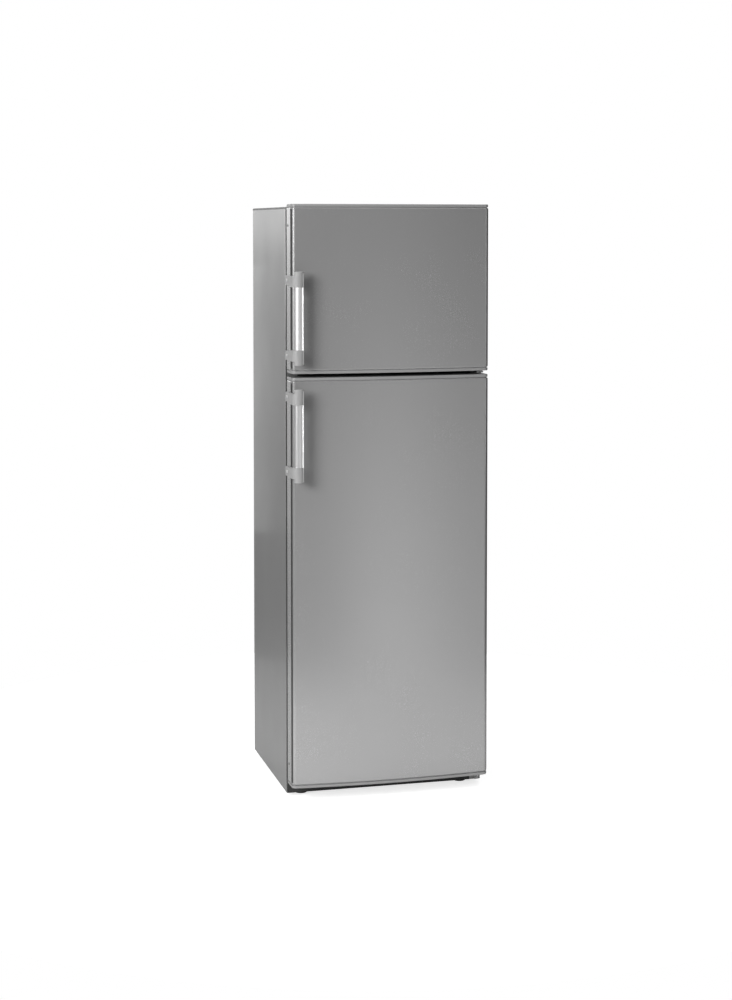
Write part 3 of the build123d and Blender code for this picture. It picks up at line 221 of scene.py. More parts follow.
def finish(name, tones, rough, fine, metallic=0.0, broad=(14, 0.1), dust=0.0, **sockets):
    """A finish with fine grain in colour and relief, broad changes of roughness, and dust where it settles.

    A tone is a grey level or a colour. The fine grain is given by its scale, stretch, strength of relief and
    depth in millimetres, and the broad changes by their scale and the roughness that the fine grain adds.
    """
    tree, shader, place = new_finish(name)
    scale, stretch, strength, depth = fine
    dark, light = (grey(tone) if isinstance(tone, float) else tone for tone in tones)
    fine_mask = grain(tree, place, stretch, scale)
    broad_mask = grain(tree, place, EVEN, broad[0], BROAD_DETAIL, BROAD_CONTRAST)
    colour = mix_colour(tree, fine_mask, dark, light)
    roughness = tree.nodes.new("ShaderNodeMath")
    tree.links.new(spread(tree, broad_mask, rough[0], rough[1]), roughness.inputs[0])
    tree.links.new(spread(tree, fine_mask, -broad[1] / 2, broad[1] / 2), roughness.inputs[1])
    if dust:
        mask = tree.nodes.new("ShaderNodeGroup")
        mask.node_tree = DUST
        mask.inputs["Amount"].default_value = dust
        tree.links.new(place, mask.inputs["Vector"])
        colour = mix_colour(tree, mask.outputs["Mask"], colour, DUST_COLOUR)
    tree.links.new(colour, shader.inputs["Base Color"])
    tree.links.new(roughness.outputs[0], shader.inputs["Roughness"])
    tree.links.new(bump(tree, fine_mask, strength, depth * MM), shader.inputs["Normal"])
    shader.inputs["Metallic"].default_value = metallic
    for label, value in sockets.items():
        shader.inputs[label.replace("_", " ")].default_value = value


def clear_finish(name, tint, rough, weight, scale):
    """Clear or frosted moulding: light goes through, with a faint moulded grain on its faces."""
    tree, shader, place = new_finish(name)
    mask = grain(tree, place, EVEN, scale)
    tree.links.new(mix_colour(tree, mask, tint[0], tint[1]), shader.inputs["Base Color"])
    tree.links.new(spread(tree, mask, rough[0], rough[1]), shader.inputs["Roughness"])
    tree.links.new(bump(tree, mask, CLEAR_BUMP, CLEAR_DEPTH), shader.inputs["Normal"])
    shader.inputs["Transmission Weight"].default_value = weight
    shader.inputs["IOR"].default_value = CLEAR_IOR


# Outside of the cabinet and the doors
finish(
    "door_steel", (0.43, 0.46), (0.25, 0.27), (1500, SHORT_BRUSH, 0.02, 0.03), metallic=0.6, broad=(5, 0.03)
)
finish(
    "side_paint", (0.34, 0.4), (0.4, 0.48), (420, EVEN, 0.2, 0.08), metallic=0.8, broad=(6, 0.08),
    Coat_Weight=0.5, Coat_Roughness=0.16,
)
# Darker copy of the side paint: painted shade on the folded front edges of the side panels
finish("shaded_panel_edge", (0.165, 0.195), (0.2, 0.26), (800, EVEN, 0.08, 0.03), metallic=0.8, broad=(10, 0.03))
finish("top_plastic", (0.16, 0.2), (0.5, 0.62), (700, EVEN, 0.5, 0.1), dust=0.2)
finish(
    "back_sheet", (0.36, 0.44), (0.45, 0.55), (260, EVEN, 0.2, 0.08), metallic=0.55, broad=(9, 0.12),
    dust=0.25,
)
finish("cap_plastic", (0.34, 0.39), (0.38, 0.46), (1100, EVEN, 0.2, 0.04), metallic=0.35)
finish("plinth_plastic", (0.03, 0.045), (0.5, 0.6), (800, EVEN, 0.4, 0.1))
finish("gasket", (0.13, 0.17), (0.5, 0.62), (900, EVEN, 0.25, 0.05))
# Near-black divider rail: painted shade in the gap between the doors, where such a rail is usually the same
# grey as the hinges
finish("divider_dark", (0.02, 0.03), (0.5, 0.6), (800, EVEN, 0.2, 0.05))

# Handles, hinges and pins
finish("handle_bar", (0.86, 0.9), (0.3, 0.33), (1600, BAR_DRAWN, 0.01, 0.01), metallic=0.68, broad=(18, 0.02))
finish("handle_bracket", (0.4, 0.45), (0.54, 0.62), (1400, EVEN, 0.25, 0.04), metallic=0.35, broad=(30, 0.08))
finish("hinge_metal", (0.58, 0.66), (0.34, 0.44), (800, EVEN, 0.25, 0.05), metallic=0.8, broad=(20, 0.1))
finish("pin_steel", (0.45, 0.56), (0.22, 0.32), (900, BRUSH_ACROSS, 0.2, 0.03), metallic=1.0)

# Inside
foam_tones = ((0.72, 0.6, 0.33, 1), (0.86, 0.76, 0.5, 1))
finish("foam", foam_tones, (0.85, 0.95), (240, EVEN, 0.9, 0.8), Subsurface_Weight=0.1)
liner_tones = (grey(0.64, 0.01), grey(0.68, 0.005))
finish("liner_white", liner_tones, (0.26, 0.36), (500, EVEN, 0.12, 0.06), Coat_Weight=0.2)
finish("shelf_trim", (0.74, 0.8), (0.24, 0.34), (600, TRIM_DRAWN, 0.1, 0.04))
finish("evaporator_aluminium", (0.68, 0.78), (0.3, 0.42), (600, BRUSH_UP, 0.15, 0.04), metallic=1.0)
finish("control_white", (0.76, 0.8), (0.28, 0.38), (900, EVEN, 0.15, 0.05))
finish("knob_grey", (0.22, 0.26), (0.42, 0.52), (1000, EVEN, 0.35, 0.06))
clear_finish("rack_plastic", ((0.86, 0.9, 0.93, 1), (0.92, 0.95, 0.97, 1)), (0.24, 0.34), 0.55, 600)
clear_finish("lid_plastic", ((0.82, 0.9, 0.93, 1), (0.9, 0.95, 0.97, 1)), (0.12, 0.2), 0.75, 500)
clear_finish("shelf_glass", ((0.8, 0.93, 0.89, 1), (0.84, 0.95, 0.92, 1)), (0.01, 0.04), 1.0, 60)

# Back and underside
finish(
    "compressor_black", (0.012, 0.02), (0.28, 0.42), (340, EVEN, 0.2, 0.12), broad=(16, 0.12), dust=0.3,
    Coat_Weight=0.35,
)
finish("mount_rubber", (0.018, 0.03), (0.65, 0.8), (700, EVEN, 0.5, 0.1), dust=0.3)
finish("condenser_black", (0.014, 0.024), (0.36, 0.5), (520, EVEN, 0.35, 0.1), broad=(22, 0.12), dust=0.35)
copper_tones = ((0.5, 0.22, 0.11, 1), (0.72, 0.36, 0.2, 1))
finish("pipe_copper", copper_tones, (0.26, 0.46), (130, EVEN, 0.12, 0.06), metallic=1.0, broad=(26, 0.14))
finish("black_plastic", (0.022, 0.034), (0.48, 0.6), (800, EVEN, 0.45, 0.1), dust=0.2)

for subpart in frame["record"]["subparts"]:
    node_mesh = nodes[subpart["node"]].data
    node_mesh.materials.clear()
    node_mesh.materials.append(FINISHES[subpart["material_slot"]])


# Shapes of the added pieces: a screw's head, cross and recess and a rib's ends are shares of their sizes
MERGE = 0.01 * MM
SMOOTH_ANGLE = math.radians(35)
SCREW_SEAT = 0.5 * MM
SCREW_RADIUS = 4.2 * MM
SCREW_RISE = 2.2 * MM
SCREW_STEPS = 24
HEAD_SHARES = [(1, 0.4), (0.92, 0.8), (0.74, 1)]
CROSS_QUARTER = [(0.58, 0.16), (0.16, 0.16), (0.16, 0.58)]
CROSS_TAPER = 0.8
CROSS_DEPTH = 0.8
SOFT_STEPS = 3
WIRE_STEPS = 12
BEND_POINTS = 7
BEND_HANDLE = 2 / 3
ROD_STEPS = 16
RIB_SEAT = 0.2 * MM
RIB_STEPS = 8
RIB_END = 0.15
RIB_RUN_OUT = [(1, 0.75), (2.5, 1)]


def of_kind(geom, kind):
    return [item for item in geom if isinstance(item, kind)]


def seat(place, axis):
    """Turns a shape made along +Z to an axis and moves it to a place."""
    turn = Vector(UP).rotation_difference(Vector(axis))
    return Matrix.Translation(place) @ turn.to_matrix().to_4x4()


def put_down(form, shape, move=Matrix.Identity(4)):
    """Moves a shape and adds it to a piece's form."""
    bmesh.ops.transform(shape, matrix=move, verts=shape.verts)
    mesh = bpy.data.meshes.new("shape")
    shape.to_mesh(mesh)
    shape.free()
    form.from_mesh(mesh)
    bpy.data.meshes.remove(mesh)


def ring_through(form, points):
    """Closed ring of edges through a section's points."""
    verts = [form.verts.new(point) for point in points]
    return [form.edges.new(pair) for pair in zip(verts, verts[1:] + verts[:1])]


def grow(form, ring, move):
    """Extrudes a ring of edges, moves the new ring and gives its edges."""
    grown = bmesh.ops.extrude_edge_only(form, edges=ring)["geom"]
    bmesh.ops.transform(form, matrix=move, verts=of_kind(grown, bmesh.types.BMVert))
    return of_kind(grown, bmesh.types.BMEdge)


def spin_outline(form, outline, steps):
    """Spins a line of (radius, height) points once round the Z axis."""
    verts = [form.verts.new((radius, 0, height)) for radius, height in outline]
    edges = [form.edges.new(pair) for pair in zip(verts, verts[1:])]
    bmesh.ops.spin(
        form, geom=verts + edges, cent=(0, 0, 0), axis=UP, angle=2 * math.pi, steps=steps, use_merge=True
    )
    bmesh.ops.remove_doubles(form, verts=form.verts, dist=MERGE)


def turned(form, outline, place, axis, steps=24):
    """Solid turned from (radius, height) points in millimetres, closed on its axis."""
    shape = bmesh.new()
    whole = [(0, outline[0][1]), *outline, (0, outline[-1][1])]
    spin_outline(shape, [(radius * MM, height * MM) for radius, height in whole], steps)
    put_down(form, shape, seat(place, axis))


def cross_screw(form, place, axis, radius=SCREW_RADIUS, rise=SCREW_RISE):
    """Pan-head screw with a cross recess sunk into its head."""
    head = bmesh.new()
    outline = [(0, -SCREW_SEAT), (radius, -SCREW_SEAT)]
    outline += [(radius * wide, rise * tall) for wide, tall in HEAD_SHARES]
    spin_outline(head, outline, SCREW_STEPS)
    rim = [edge for edge in head.edges if edge.is_boundary]
    cross = []
    for quarter in range(4):
        turn = Matrix.Rotation(quarter * math.pi / 2, 3, "Z")
        cross += [turn @ Vector((x * radius, y * radius, rise)) for x, y in CROSS_QUARTER]
    brink = ring_through(head, cross)
    bmesh.ops.triangle_fill(head, use_beauty=True, edges=rim + brink, normal=UP)
    taper = Matrix.Diagonal((CROSS_TAPER, CROSS_TAPER, 1, 1))
    floor_ring = grow(head, brink, Matrix.Translation((0, 0, -CROSS_DEPTH * rise)) @ taper)
    bmesh.ops.edgeloop_fill(head, edges=floor_ring)
    put_down(form, head, seat(place, axis))


def brick(form, low, high, soften=0.0):
    """Block between two corners, with its edges rounded."""
    low, high = Vector(low), Vector(high)
    move = Matrix.Translation((low + high) / 2) @ Matrix.Diagonal((*(high - low), 1))
    made = bmesh.ops.create_cube(form, size=1.0, matrix=move)["verts"]
    if soften:
        edges = list({edge for vert in made for edge in vert.link_edges})
        bmesh.ops.bevel(
            form, geom=edges, offset=soften, offset_type="OFFSET", affect="EDGES", segments=SOFT_STEPS,
            profile=0.5, material=-1,
        )


def rod(form, start, stop, radius):
    """Round rod between two points."""
    start, stop = Vector(start), Vector(stop)
    bmesh.ops.create_cone(
        form, cap_ends=True, segments=ROD_STEPS, radius1=radius, radius2=radius, depth=(stop - start).length,
        matrix=seat((start + stop) / 2, stop - start),
    )


def bent_wire(form, points, radius, bend):
    """Round wire along points, with its corners bent."""
    points = [Vector(point) for point in points]
    path = [points[0]]
    for before, corner, after in zip(points, points[1:], points[2:]):
        start = corner + (before - corner).normalized() * bend
        stop = corner + (after - corner).normalized() * bend
        handles = [end.lerp(corner, BEND_HANDLE) for end in (start, stop)]
        path += interpolate_bezier(start, *handles, stop, BEND_POINTS)
    path.append(points[-1])
    frames = []
    for before, here, after in zip(path[:1] + path, path, path[1:] + path[-1:]):
        turn = (after - before).to_track_quat("Z", "Y").to_matrix().to_4x4()
        frames.append(Matrix.Translation(here) @ turn)
    made = bmesh.ops.create_circle(form, cap_ends=True, segments=WIRE_STEPS, radius=radius, matrix=frames[0])
    ring = list({edge for vert in made["verts"] for edge in vert.link_edges})
    for before, after in zip(frames, frames[1:]):
        ring = grow(form, ring, after @ before.inverted())
    bmesh.ops.edgeloop_fill(form, edges=ring)


def rib(form, start, stop, out, radius):
    """Half-round rib between two points on a wall, standing out along a direction, with its ends run out."""
    start, out = Vector(start), Vector(out)
    along = Vector(stop) - start
    length = along.length
    along.normalize()
    run_out = [(reach * radius, share) for reach, share in RIB_RUN_OUT]
    stations = run_out + [(length - reach, share) for reach, share in reversed(run_out)]
    stations.append((length, RIB_END))
    angles = [math.pi * i / RIB_STEPS for i in range(RIB_STEPS + 1)]
    shape = bmesh.new()
    arc = [shape.verts.new((0, radius * math.cos(a), RIB_END * radius * math.sin(a))) for a in angles]
    ring, at, tall = shape.faces.new(arc).edges[:], 0, RIB_END
    for reach, share in stations:
        swell = Matrix.Diagonal((1, 1, share / tall, 1))
        ring = grow(shape, ring, Matrix.Translation((reach - at, 0, 0)) @ swell)
        at, tall = reach, share
    bmesh.ops.edgeloop_fill(shape, edges=ring)
    turn = Matrix((along, out.cross(along), out)).transposed().to_4x4()
    put_down(form, shape, Matrix.Translation(start - out * RIB_SEAT) @ turn)


def mitred_frame(form, section, low, high):
    """Frame round an upright rectangle: a section of (inward, y) points, mirrored from corner to corner."""
    ring = ring_through(form, [(low.x + inward, y, low.z + inward) for inward, y in section])
    across = Matrix.Translation((low.x + high.x, 0, 0)) @ Matrix.Diagonal((-1, 1, 1, 1))
    upright = Matrix.Translation((0, 0, low.z + high.z)) @ Matrix.Diagonal((1, 1, -1, 1))
    for mirrored in (across, upright, across, upright):
        ring = grow(form, ring, mirrored)


def add_piece(name, form, body, slot, look=None):
    """A piece of its own on a body, in its slot's finish or in a look that differs from it."""
    bmesh.ops.remove_doubles(form, verts=form.verts, dist=MERGE)
    bmesh.ops.recalc_face_normals(form, faces=form.faces)
    mesh = bpy.data.meshes.new(name)
    form.to_mesh(mesh)
    form.free()
    mesh.shade_smooth()
    mesh.set_sharp_from_angle(angle=SMOOTH_ANGLE)
    mesh.materials.append(FINISHES[look or slot])
    piece = bpy.data.objects.new(name, mesh)
    scene.collection.objects.link(piece)
    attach(piece, body)
    return piece


# Door seals: folded bellows under a flat magnet pocket, mitred, with a dark fin at the opening side that
# paints the shade in the gap between door and cabinet
SEAL_HALF = [
    (7.0, 0.0), (0.0, 0.0), (0.0, 1.6), (2.8, 2.2), (3.8, 3.2), (1.6, 4.6), (3.4, 5.9), (1.4, 7.3),
    (3.0, 8.3), (0.7, 8.7), (0.0, 9.5), (0.0, 11.4), (0.9, 12.2), (3.6, 12.6), (7.0, 12.3),
]
SEAL_WIDTH = 14.0
SEAL_CORNER_CUT = 0.25
SHADE_FIN_REACH = 18.4 * MM
SHADE_FIN_ROOT = 2 * MM
SHADE_FIN_RISE = 5.5 * MM
SHADE_FIN_THICK = 2 * MM
SHADE_FIN_ENDS = 14 * MM
SHADE_FIN_SOFTEN = 0.6 * MM


def seal_outline():
    """The whole outline in millimetres, with each corner cut off at a share of its sides."""
    sharp = SEAL_HALF + [(SEAL_WIDTH - across, out) for across, out in reversed(SEAL_HALF[1:-1])]
    corners = [Vector(point) for point in sharp]
    cut = []
    for start, stop in zip(corners, corners[1:] + corners[:1]):
        cut += [start.lerp(stop, SEAL_CORNER_CUT), start.lerp(stop, 1 - SEAL_CORNER_CUT)]
    return cut


def door_seal(door):
    low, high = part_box(f"{door}_door_gasket")
    section = [(across * MM, low.y + out * MM) for across, out in seal_outline()]
    form = bmesh.new()
    mitred_frame(form, section, low, high)
    shade_fin_y = low.y + SHADE_FIN_RISE
    # Dark fin: painted shade in the gap between door and cabinet
    brick(
        form,
        (low.x - SHADE_FIN_REACH, shade_fin_y, low.z - SHADE_FIN_ENDS),
        (low.x + SHADE_FIN_ROOT, shade_fin_y + SHADE_FIN_THICK, high.z + SHADE_FIN_ENDS),
        SHADE_FIN_SOFTEN,
    )
    seal = add_piece(f"{door}_door_seal", form, f"{door}_door", "gasket")
    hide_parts(f"{door}_door_gasket")


# Slim strip over the front edge of each side panel, in a darker copy of the side paint: painted shade on the
# folded edge
SHADE_STRIP_LIFT = 0.3 * MM
SHADE_STRIP_WIDTH = 8 * MM
SHADE_STRIP_WRAP = 2.5 * MM
SHADE_STRIP_ENDS = 1 * MM


def side_shade_strip(side):
    low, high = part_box(f"{side}_side_panel")
    if side == "left":
        span = (low.x - SHADE_STRIP_LIFT, low.x + SHADE_STRIP_WRAP)
    else:
        span = (high.x - SHADE_STRIP_WRAP, high.x + SHADE_STRIP_LIFT)
    form = bmesh.new()
    brick(
        form,
        (span[0], low.y - SHADE_STRIP_LIFT, low.z + SHADE_STRIP_ENDS),
        (span[1], low.y + SHADE_STRIP_WIDTH, high.z - SHADE_STRIP_ENDS),
        SHADE_STRIP_LIFT / 2,
    )
    # Strip in the darker copy of the side paint: painted shade on the folded front edge
    add_piece(f"{side}_side_shade_strip", form, "cabinet", "side_paint", "shaded_panel_edge")


# Dark strip along both upright corners of each door, on the round between bowed front and side: a painted
# dark reflection of the polished corner, not a joint
DARK_REFLECTION_LIFT = 0.15 * MM
DARK_REFLECTION_FROM = math.radians(50)
DARK_REFLECTION_TO = math.radians(85)
DARK_REFLECTION_STEPS = 8
DARK_REFLECTION_ENDS = 5 * MM
CORNER_RADIUS = 14 * MM
DOOR_BOW = 16 * MM


def door_corner_dark_reflection(door):
    low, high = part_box(f"{door}_door_skin")
    half = (high.x - low.x) / 2
    sweep = (half**2 + DOOR_BOW**2) / (2 * DOOR_BOW)
    corner_y = low.y + sweep - math.sqrt((sweep - CORNER_RADIUS) ** 2 - (half - CORNER_RADIUS) ** 2)
    form = bmesh.new()
    for side, edge_x in ((-1, low.x), (1, high.x)):
        line = bmesh.new()
        centre = Vector((edge_x - side * CORNER_RADIUS, corner_y, low.z + DARK_REFLECTION_ENDS))
        outward = Vector((side * math.sin(DARK_REFLECTION_FROM), -math.cos(DARK_REFLECTION_FROM), 0))
        reaches = (CORNER_RADIUS + DARK_REFLECTION_LIFT, CORNER_RADIUS - DARK_REFLECTION_LIFT)
        ends = [line.verts.new(centre + outward * reach) for reach in reaches]
        across = line.edges.new(ends)
        turn = side * (DARK_REFLECTION_TO - DARK_REFLECTION_FROM)
        bmesh.ops.spin(line, geom=[*ends, across], cent=centre, axis=UP, angle=turn, steps=DARK_REFLECTION_STEPS)
        grown = bmesh.ops.extrude_face_region(line, geom=line.faces[:])["geom"]
        tall = high.z - low.z - 2 * DARK_REFLECTION_ENDS
        bmesh.ops.translate(line, verts=of_kind(grown, bmesh.types.BMVert), vec=(0, 0, tall))
        put_down(form, line)
    # Strips in a near-black finish: painted dark reflection on the door corners
    add_piece(f"{door}_door_corner_dark_reflection", form, f"{door}_door", "plinth_plastic")


# Dark plug in the left side of each door, near its outer end
PLUG_OUTLINE = [(4.0, -0.5), (4.0, 0.3), (3.4, 0.8), (1.6, 1.1)]
PLUG_FROM_END = 52 * MM
PLUG_FROM_BACK = 17 * MM


def door_plug(door):
    low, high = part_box(f"{door}_door_skin")
    plug_z = high.z - PLUG_FROM_END if door == "freezer" else low.z + PLUG_FROM_END
    form = bmesh.new()
    turned(form, PLUG_OUTLINE, (low.x, high.y - PLUG_FROM_BACK, plug_z), LEFT)
    add_piece(f"{door}_door_plug", form, f"{door}_door", "plinth_plastic")


# Handles: screws in the ears, and a raised lip along the right side of each bar and over its caps
EAR_FROM_END = 26 * MM
EAR_FROM_BACK = 24 * MM
LIP_RADIUS = 2.4 * MM
LIP_TURN = math.radians(58)
CAP_LENGTH = 45 * MM
CAP_WALL = 1.2 * MM
CAP_LIP_RADIUS = 0.8 * LIP_RADIUS
CAP_LIP_ENDS = 4 * MM


def handle_screws(door):
    low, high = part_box(f"{door}_handle_brackets")
    form = bmesh.new()
    for z in (low.z + EAR_FROM_END, high.z - EAR_FROM_END):
        cross_screw(form, (low.x, high.y - EAR_FROM_BACK, z), LEFT)
    add_piece(f"{door}_handle_screws", form, f"{door}_door", "handle_bar")


def upright_lip(form, spot, ends, radius):
    rod(form, (*spot, ends[0]), (*spot, ends[1]), radius)


def handle_lips(door):
    """Gives the bar's lip, which has a light of its own."""
    low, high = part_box(f"{door}_handle_bar")
    cap_low, cap_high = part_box(f"{door}_handle_brackets")
    middle = (low + high) / 2
    half = (high - low) / 2
    across, ahead = math.sin(LIP_TURN), -math.cos(LIP_TURN)
    bar_ends = (cap_low.z + CAP_LENGTH, cap_high.z - CAP_LENGTH)
    form = bmesh.new()
    upright_lip(form, (middle.x + half.x * across, middle.y + half.y * ahead), bar_ends, LIP_RADIUS)
    bar_lip = add_piece(f"{door}_handle_lip", form, f"{door}_door", "handle_bar")
    form = bmesh.new()
    spot = (middle.x + (half.x + CAP_WALL) * across, middle.y + (half.y + CAP_WALL) * ahead)
    for ends in ((cap_low.z + CAP_LIP_ENDS, bar_ends[0]), (bar_ends[1], cap_high.z - CAP_LIP_ENDS)):
        upright_lip(form, spot, ends, CAP_LIP_RADIUS)
    add_piece(f"{door}_cap_lips", form, f"{door}_door", "handle_bracket")
    return bar_lip


# Screws of the hinges, back sheet, control housing and compressor rail
HINGE_SCREW_FROM_SIDE = 5.5 * MM
HINGE_SCREW_FROM_BACK = 3 * MM
MIDDLE_HINGE_SCREW_IN = 7 * MM
BOTTOM_HINGE_SCREWS = (6 * MM, 18 * MM)
COVER_SCREW_FROM_BACK = 14 * MM
COVER_SCREW = (3.6 * MM, 1.4 * MM)
BACK_SCREW_IN = 9 * MM
BACK_SCREW_FROM = 20 * MM
BACK_SCREW_PITCH = 290 * MM
BACK_SCREW_COUNT = 6
BACK_TOP_SCREWS = (-150 * MM, 0, 150 * MM)
CONTROL_SCREW_IN = 12 * MM
CONTROL_SCREW = (3.4 * MM, 1.2 * MM)
RAIL_SCREW_FROM_SIDE = 9 * MM
RAIL_SCREW_FROM_END = 14 * MM


def cabinet_screws():
    form = bmesh.new()
    low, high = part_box("middle_hinge")
    hinge_x, hinge_y = high.x - HINGE_SCREW_FROM_SIDE, high.y - HINGE_SCREW_FROM_BACK
    for z in (low.z + MIDDLE_HINGE_SCREW_IN, high.z - MIDDLE_HINGE_SCREW_IN):
        cross_screw(form, (hinge_x, hinge_y, z), FRONT)
    low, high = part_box("bottom_hinge")
    hinge_x, hinge_y = high.x - HINGE_SCREW_FROM_SIDE, high.y - HINGE_SCREW_FROM_BACK
    for rise in BOTTOM_HINGE_SCREWS:
        cross_screw(form, (hinge_x, hinge_y, low.z + rise), FRONT)
    low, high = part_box("hinge_cover")
    cross_screw(form, ((low.x + high.x) / 2, high.y - COVER_SCREW_FROM_BACK, high.z), UP, *COVER_SCREW)
    low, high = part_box("back_panel")
    for side in (-1, 1):
        for i in range(BACK_SCREW_COUNT):
            z = low.z + BACK_SCREW_FROM + i * BACK_SCREW_PITCH
            cross_screw(form, (side * (high.x - BACK_SCREW_IN), high.y, z), BACK)
    for x in BACK_TOP_SCREWS:
        cross_screw(form, (x, high.y, high.z - BACK_SCREW_IN), BACK)
    low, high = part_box("control_panel")
    for side in (-1, 1):
        place = (side * (high.x - CONTROL_SCREW_IN), low.y, high.z - CONTROL_SCREW_IN)
        cross_screw(form, place, FRONT, *CONTROL_SCREW)
    low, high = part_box("compressor_rail")
    for side in (-1, 1):
        for y in (low.y + RAIL_SCREW_FROM_END, high.y - RAIL_SCREW_FROM_END):
            cross_screw(form, (side * (high.x - RAIL_SCREW_FROM_SIDE), y, high.z), UP)
    add_piece("cabinet_screws", form, "cabinet", "pin_steel")


# Back sheet: a pressed bead that stiffens it behind the condenser
BEAD_HALF = 5 * MM
BEAD_RISE = 2.4 * MM
BEAD_CORNER = 40 * MM
BEAD_IN = 52 * MM
BEAD_UP = 50 * MM
BEAD_STEPS = 8


def back_sheet_bead():
    low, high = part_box("back_panel")
    right = high.x - BEAD_IN - BEAD_CORNER
    bottom, top = low.z + BEAD_UP + BEAD_CORNER, high.z - BEAD_IN - BEAD_CORNER
    route = ((right, top), (-right, top), (-right, bottom), (right, bottom))
    corners = [Vector((x, high.y - RIB_SEAT, z)) for x, z in route]
    section = []
    for i in range(RIB_STEPS + 1):
        angle = math.pi * i / RIB_STEPS
        reach = BEAD_CORNER + BEAD_HALF * math.cos(angle)
        section.append(corners[0] + Vector((reach, BEAD_RISE * math.sin(angle), 0)))
    form = bmesh.new()
    ring = ring_through(form, section)
    for corner, onward in zip(corners, corners[1:] + corners[:1]):
        ends = list({vert for edge in ring for vert in edge.verts})
        bend = bmesh.ops.spin(
            form, geom=ring + ends, cent=corner, axis=FRONT, angle=math.pi / 2, steps=BEAD_STEPS
        )
        ring = of_kind(bend["geom_last"], bmesh.types.BMEdge)
        ring = grow(form, ring, Matrix.Translation(onward - corner))
    add_piece("back_sheet_bead", form, "cabinet", "back_sheet")


# Temperature dial: marks on the dial and its grip, an index on the housing
DIAL_FACE = 6.5 * MM
DIAL_FROM = math.radians(35)
DIAL_SWEEP = math.radians(290)
DIAL_STEPS = 8
DIAL_MARK = (9.5 * MM, 12.8 * MM)
DIAL_MARK_RADIUS = 0.55 * MM
GRIP_MARK = (3 * MM, 11 * MM)
GRIP_MARK_RADIUS = 0.8 * MM
INDEX_REACH = (22 * MM, 16 * MM)
INDEX_RADIUS = 0.9 * MM


def temperature_dial():
    low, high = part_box("temperature_knob")
    dial = Vector(((low.x + high.x) / 2, low.y + DIAL_FACE, (low.z + high.z) / 2))
    form = bmesh.new()
    for i in range(DIAL_STEPS + 1):
        angle = DIAL_FROM + i * DIAL_SWEEP / DIAL_STEPS
        away = Vector((math.sin(angle), 0, -math.cos(angle)))
        rib(form, dial + away * DIAL_MARK[0], dial + away * DIAL_MARK[1], FRONT, DIAL_MARK_RADIUS)
    grip = [(dial.x, low.y, dial.z + rise) for rise in GRIP_MARK]
    rib(form, *grip, FRONT, GRIP_MARK_RADIUS)
    add_piece("dial_marks", form, "temperature_knob", "control_white")
    housing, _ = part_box("control_panel")
    form = bmesh.new()
    index = [(dial.x - reach, housing.y, dial.z) for reach in INDEX_REACH]
    rib(form, *index, FRONT, INDEX_RADIUS)
    add_piece("dial_index", form, "cabinet", "knob_grey")


# Lamp behind its cover: a tube between two sprung contacts
LAMP_RISE = 8 * MM
BULB_OUTLINE = [(3.0, -20), (4.4, -18.5), (5, -16), (5, 16), (4.4, 18.5), (3.0, 20)]
FERRULE_OUTLINE = [(3.2, 18), (3.2, 23), (2.4, 25), (1.0, 26.5)]
CONTACT_REACH = 24 * MM
CONTACT_LOW = Vector((-1, -3, 0)) * MM
CONTACT_HIGH = Vector((1, 3, 6)) * MM


def compartment_lamp():
    low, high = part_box("lamp_cover")
    middle = Vector(((low.x + high.x) / 2, (low.y + high.y) / 2, low.z + LAMP_RISE))
    form = bmesh.new()
    turned(form, BULB_OUTLINE, middle, RIGHT)
    add_piece("lamp_bulb", form, "cabinet", "control_white")
    form = bmesh.new()
    for axis in (LEFT, RIGHT):
        turned(form, FERRULE_OUTLINE, middle, axis)
        contact = middle + Vector(axis) * CONTACT_REACH
        brick(form, contact + CONTACT_LOW, contact + CONTACT_HIGH)
    add_piece("lamp_ferrules", form, "cabinet", "hinge_metal")


# Moulded ribs of the racks, drawers and freezer floor
RACKS = {"freezer_door_rack": "freezer_door", "bottle_rack": "fridge_door", "jar_rack": "fridge_door"}
RACK_RIB_SHARES = (0.45, 0.72)
RACK_RIB_ENDS = 20 * MM
MOULDED_RIB = 1.6 * MM
DRAWER_RIB_HEIGHTS = (38 * MM, 62 * MM, 86 * MM)
DRAWER_RIB_ENDS = 18 * MM
DRAWER_FRONT = 14 * MM
FLOOR_RIB_COUNT = 13
FLOOR_RIB_PITCH = 33 * MM
FLOOR_RIB_FROM = 70 * MM
FLOOR_RIB_TO = 40 * MM
FLOOR_RIB = 2.2 * MM
LINER_WALL = 2 * MM


def rack_ribs(rack, body):
    low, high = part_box(rack)
    form = bmesh.new()
    for share in RACK_RIB_SHARES:
        z = low.z + share * (high.z - low.z)
        ends = [(x, high.y, z) for x in (low.x + RACK_RIB_ENDS, high.x - RACK_RIB_ENDS)]
        rib(form, *ends, BACK, MOULDED_RIB)
    add_piece(f"{rack}_ribs", form, body, "rack_plastic")


def drawer_ribs(side):
    drawer = f"crisper_drawer_{side}"
    low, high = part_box(drawer)
    form = bmesh.new()
    for rise in DRAWER_RIB_HEIGHTS:
        span = (low.x + DRAWER_RIB_ENDS, high.x - DRAWER_RIB_ENDS)
        ends = [(x, low.y + DRAWER_FRONT, low.z + rise) for x in span]
        rib(form, *ends, FRONT, MOULDED_RIB)
    add_piece(f"{drawer}_ribs", form, drawer, "rack_plastic")


def freezer_floor_ribs():
    low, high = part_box("freezer_liner")
    form = bmesh.new()
    for i in range(FLOOR_RIB_COUNT):
        x = (i - (FLOOR_RIB_COUNT - 1) / 2) * FLOOR_RIB_PITCH
        ends = [(x, y, low.z + LINER_WALL) for y in (low.y + FLOOR_RIB_FROM, high.y - FLOOR_RIB_TO)]
        rib(form, *ends, UP, FLOOR_RIB)
    add_piece("freezer_floor_ribs", form, "cabinet", "liner_white")


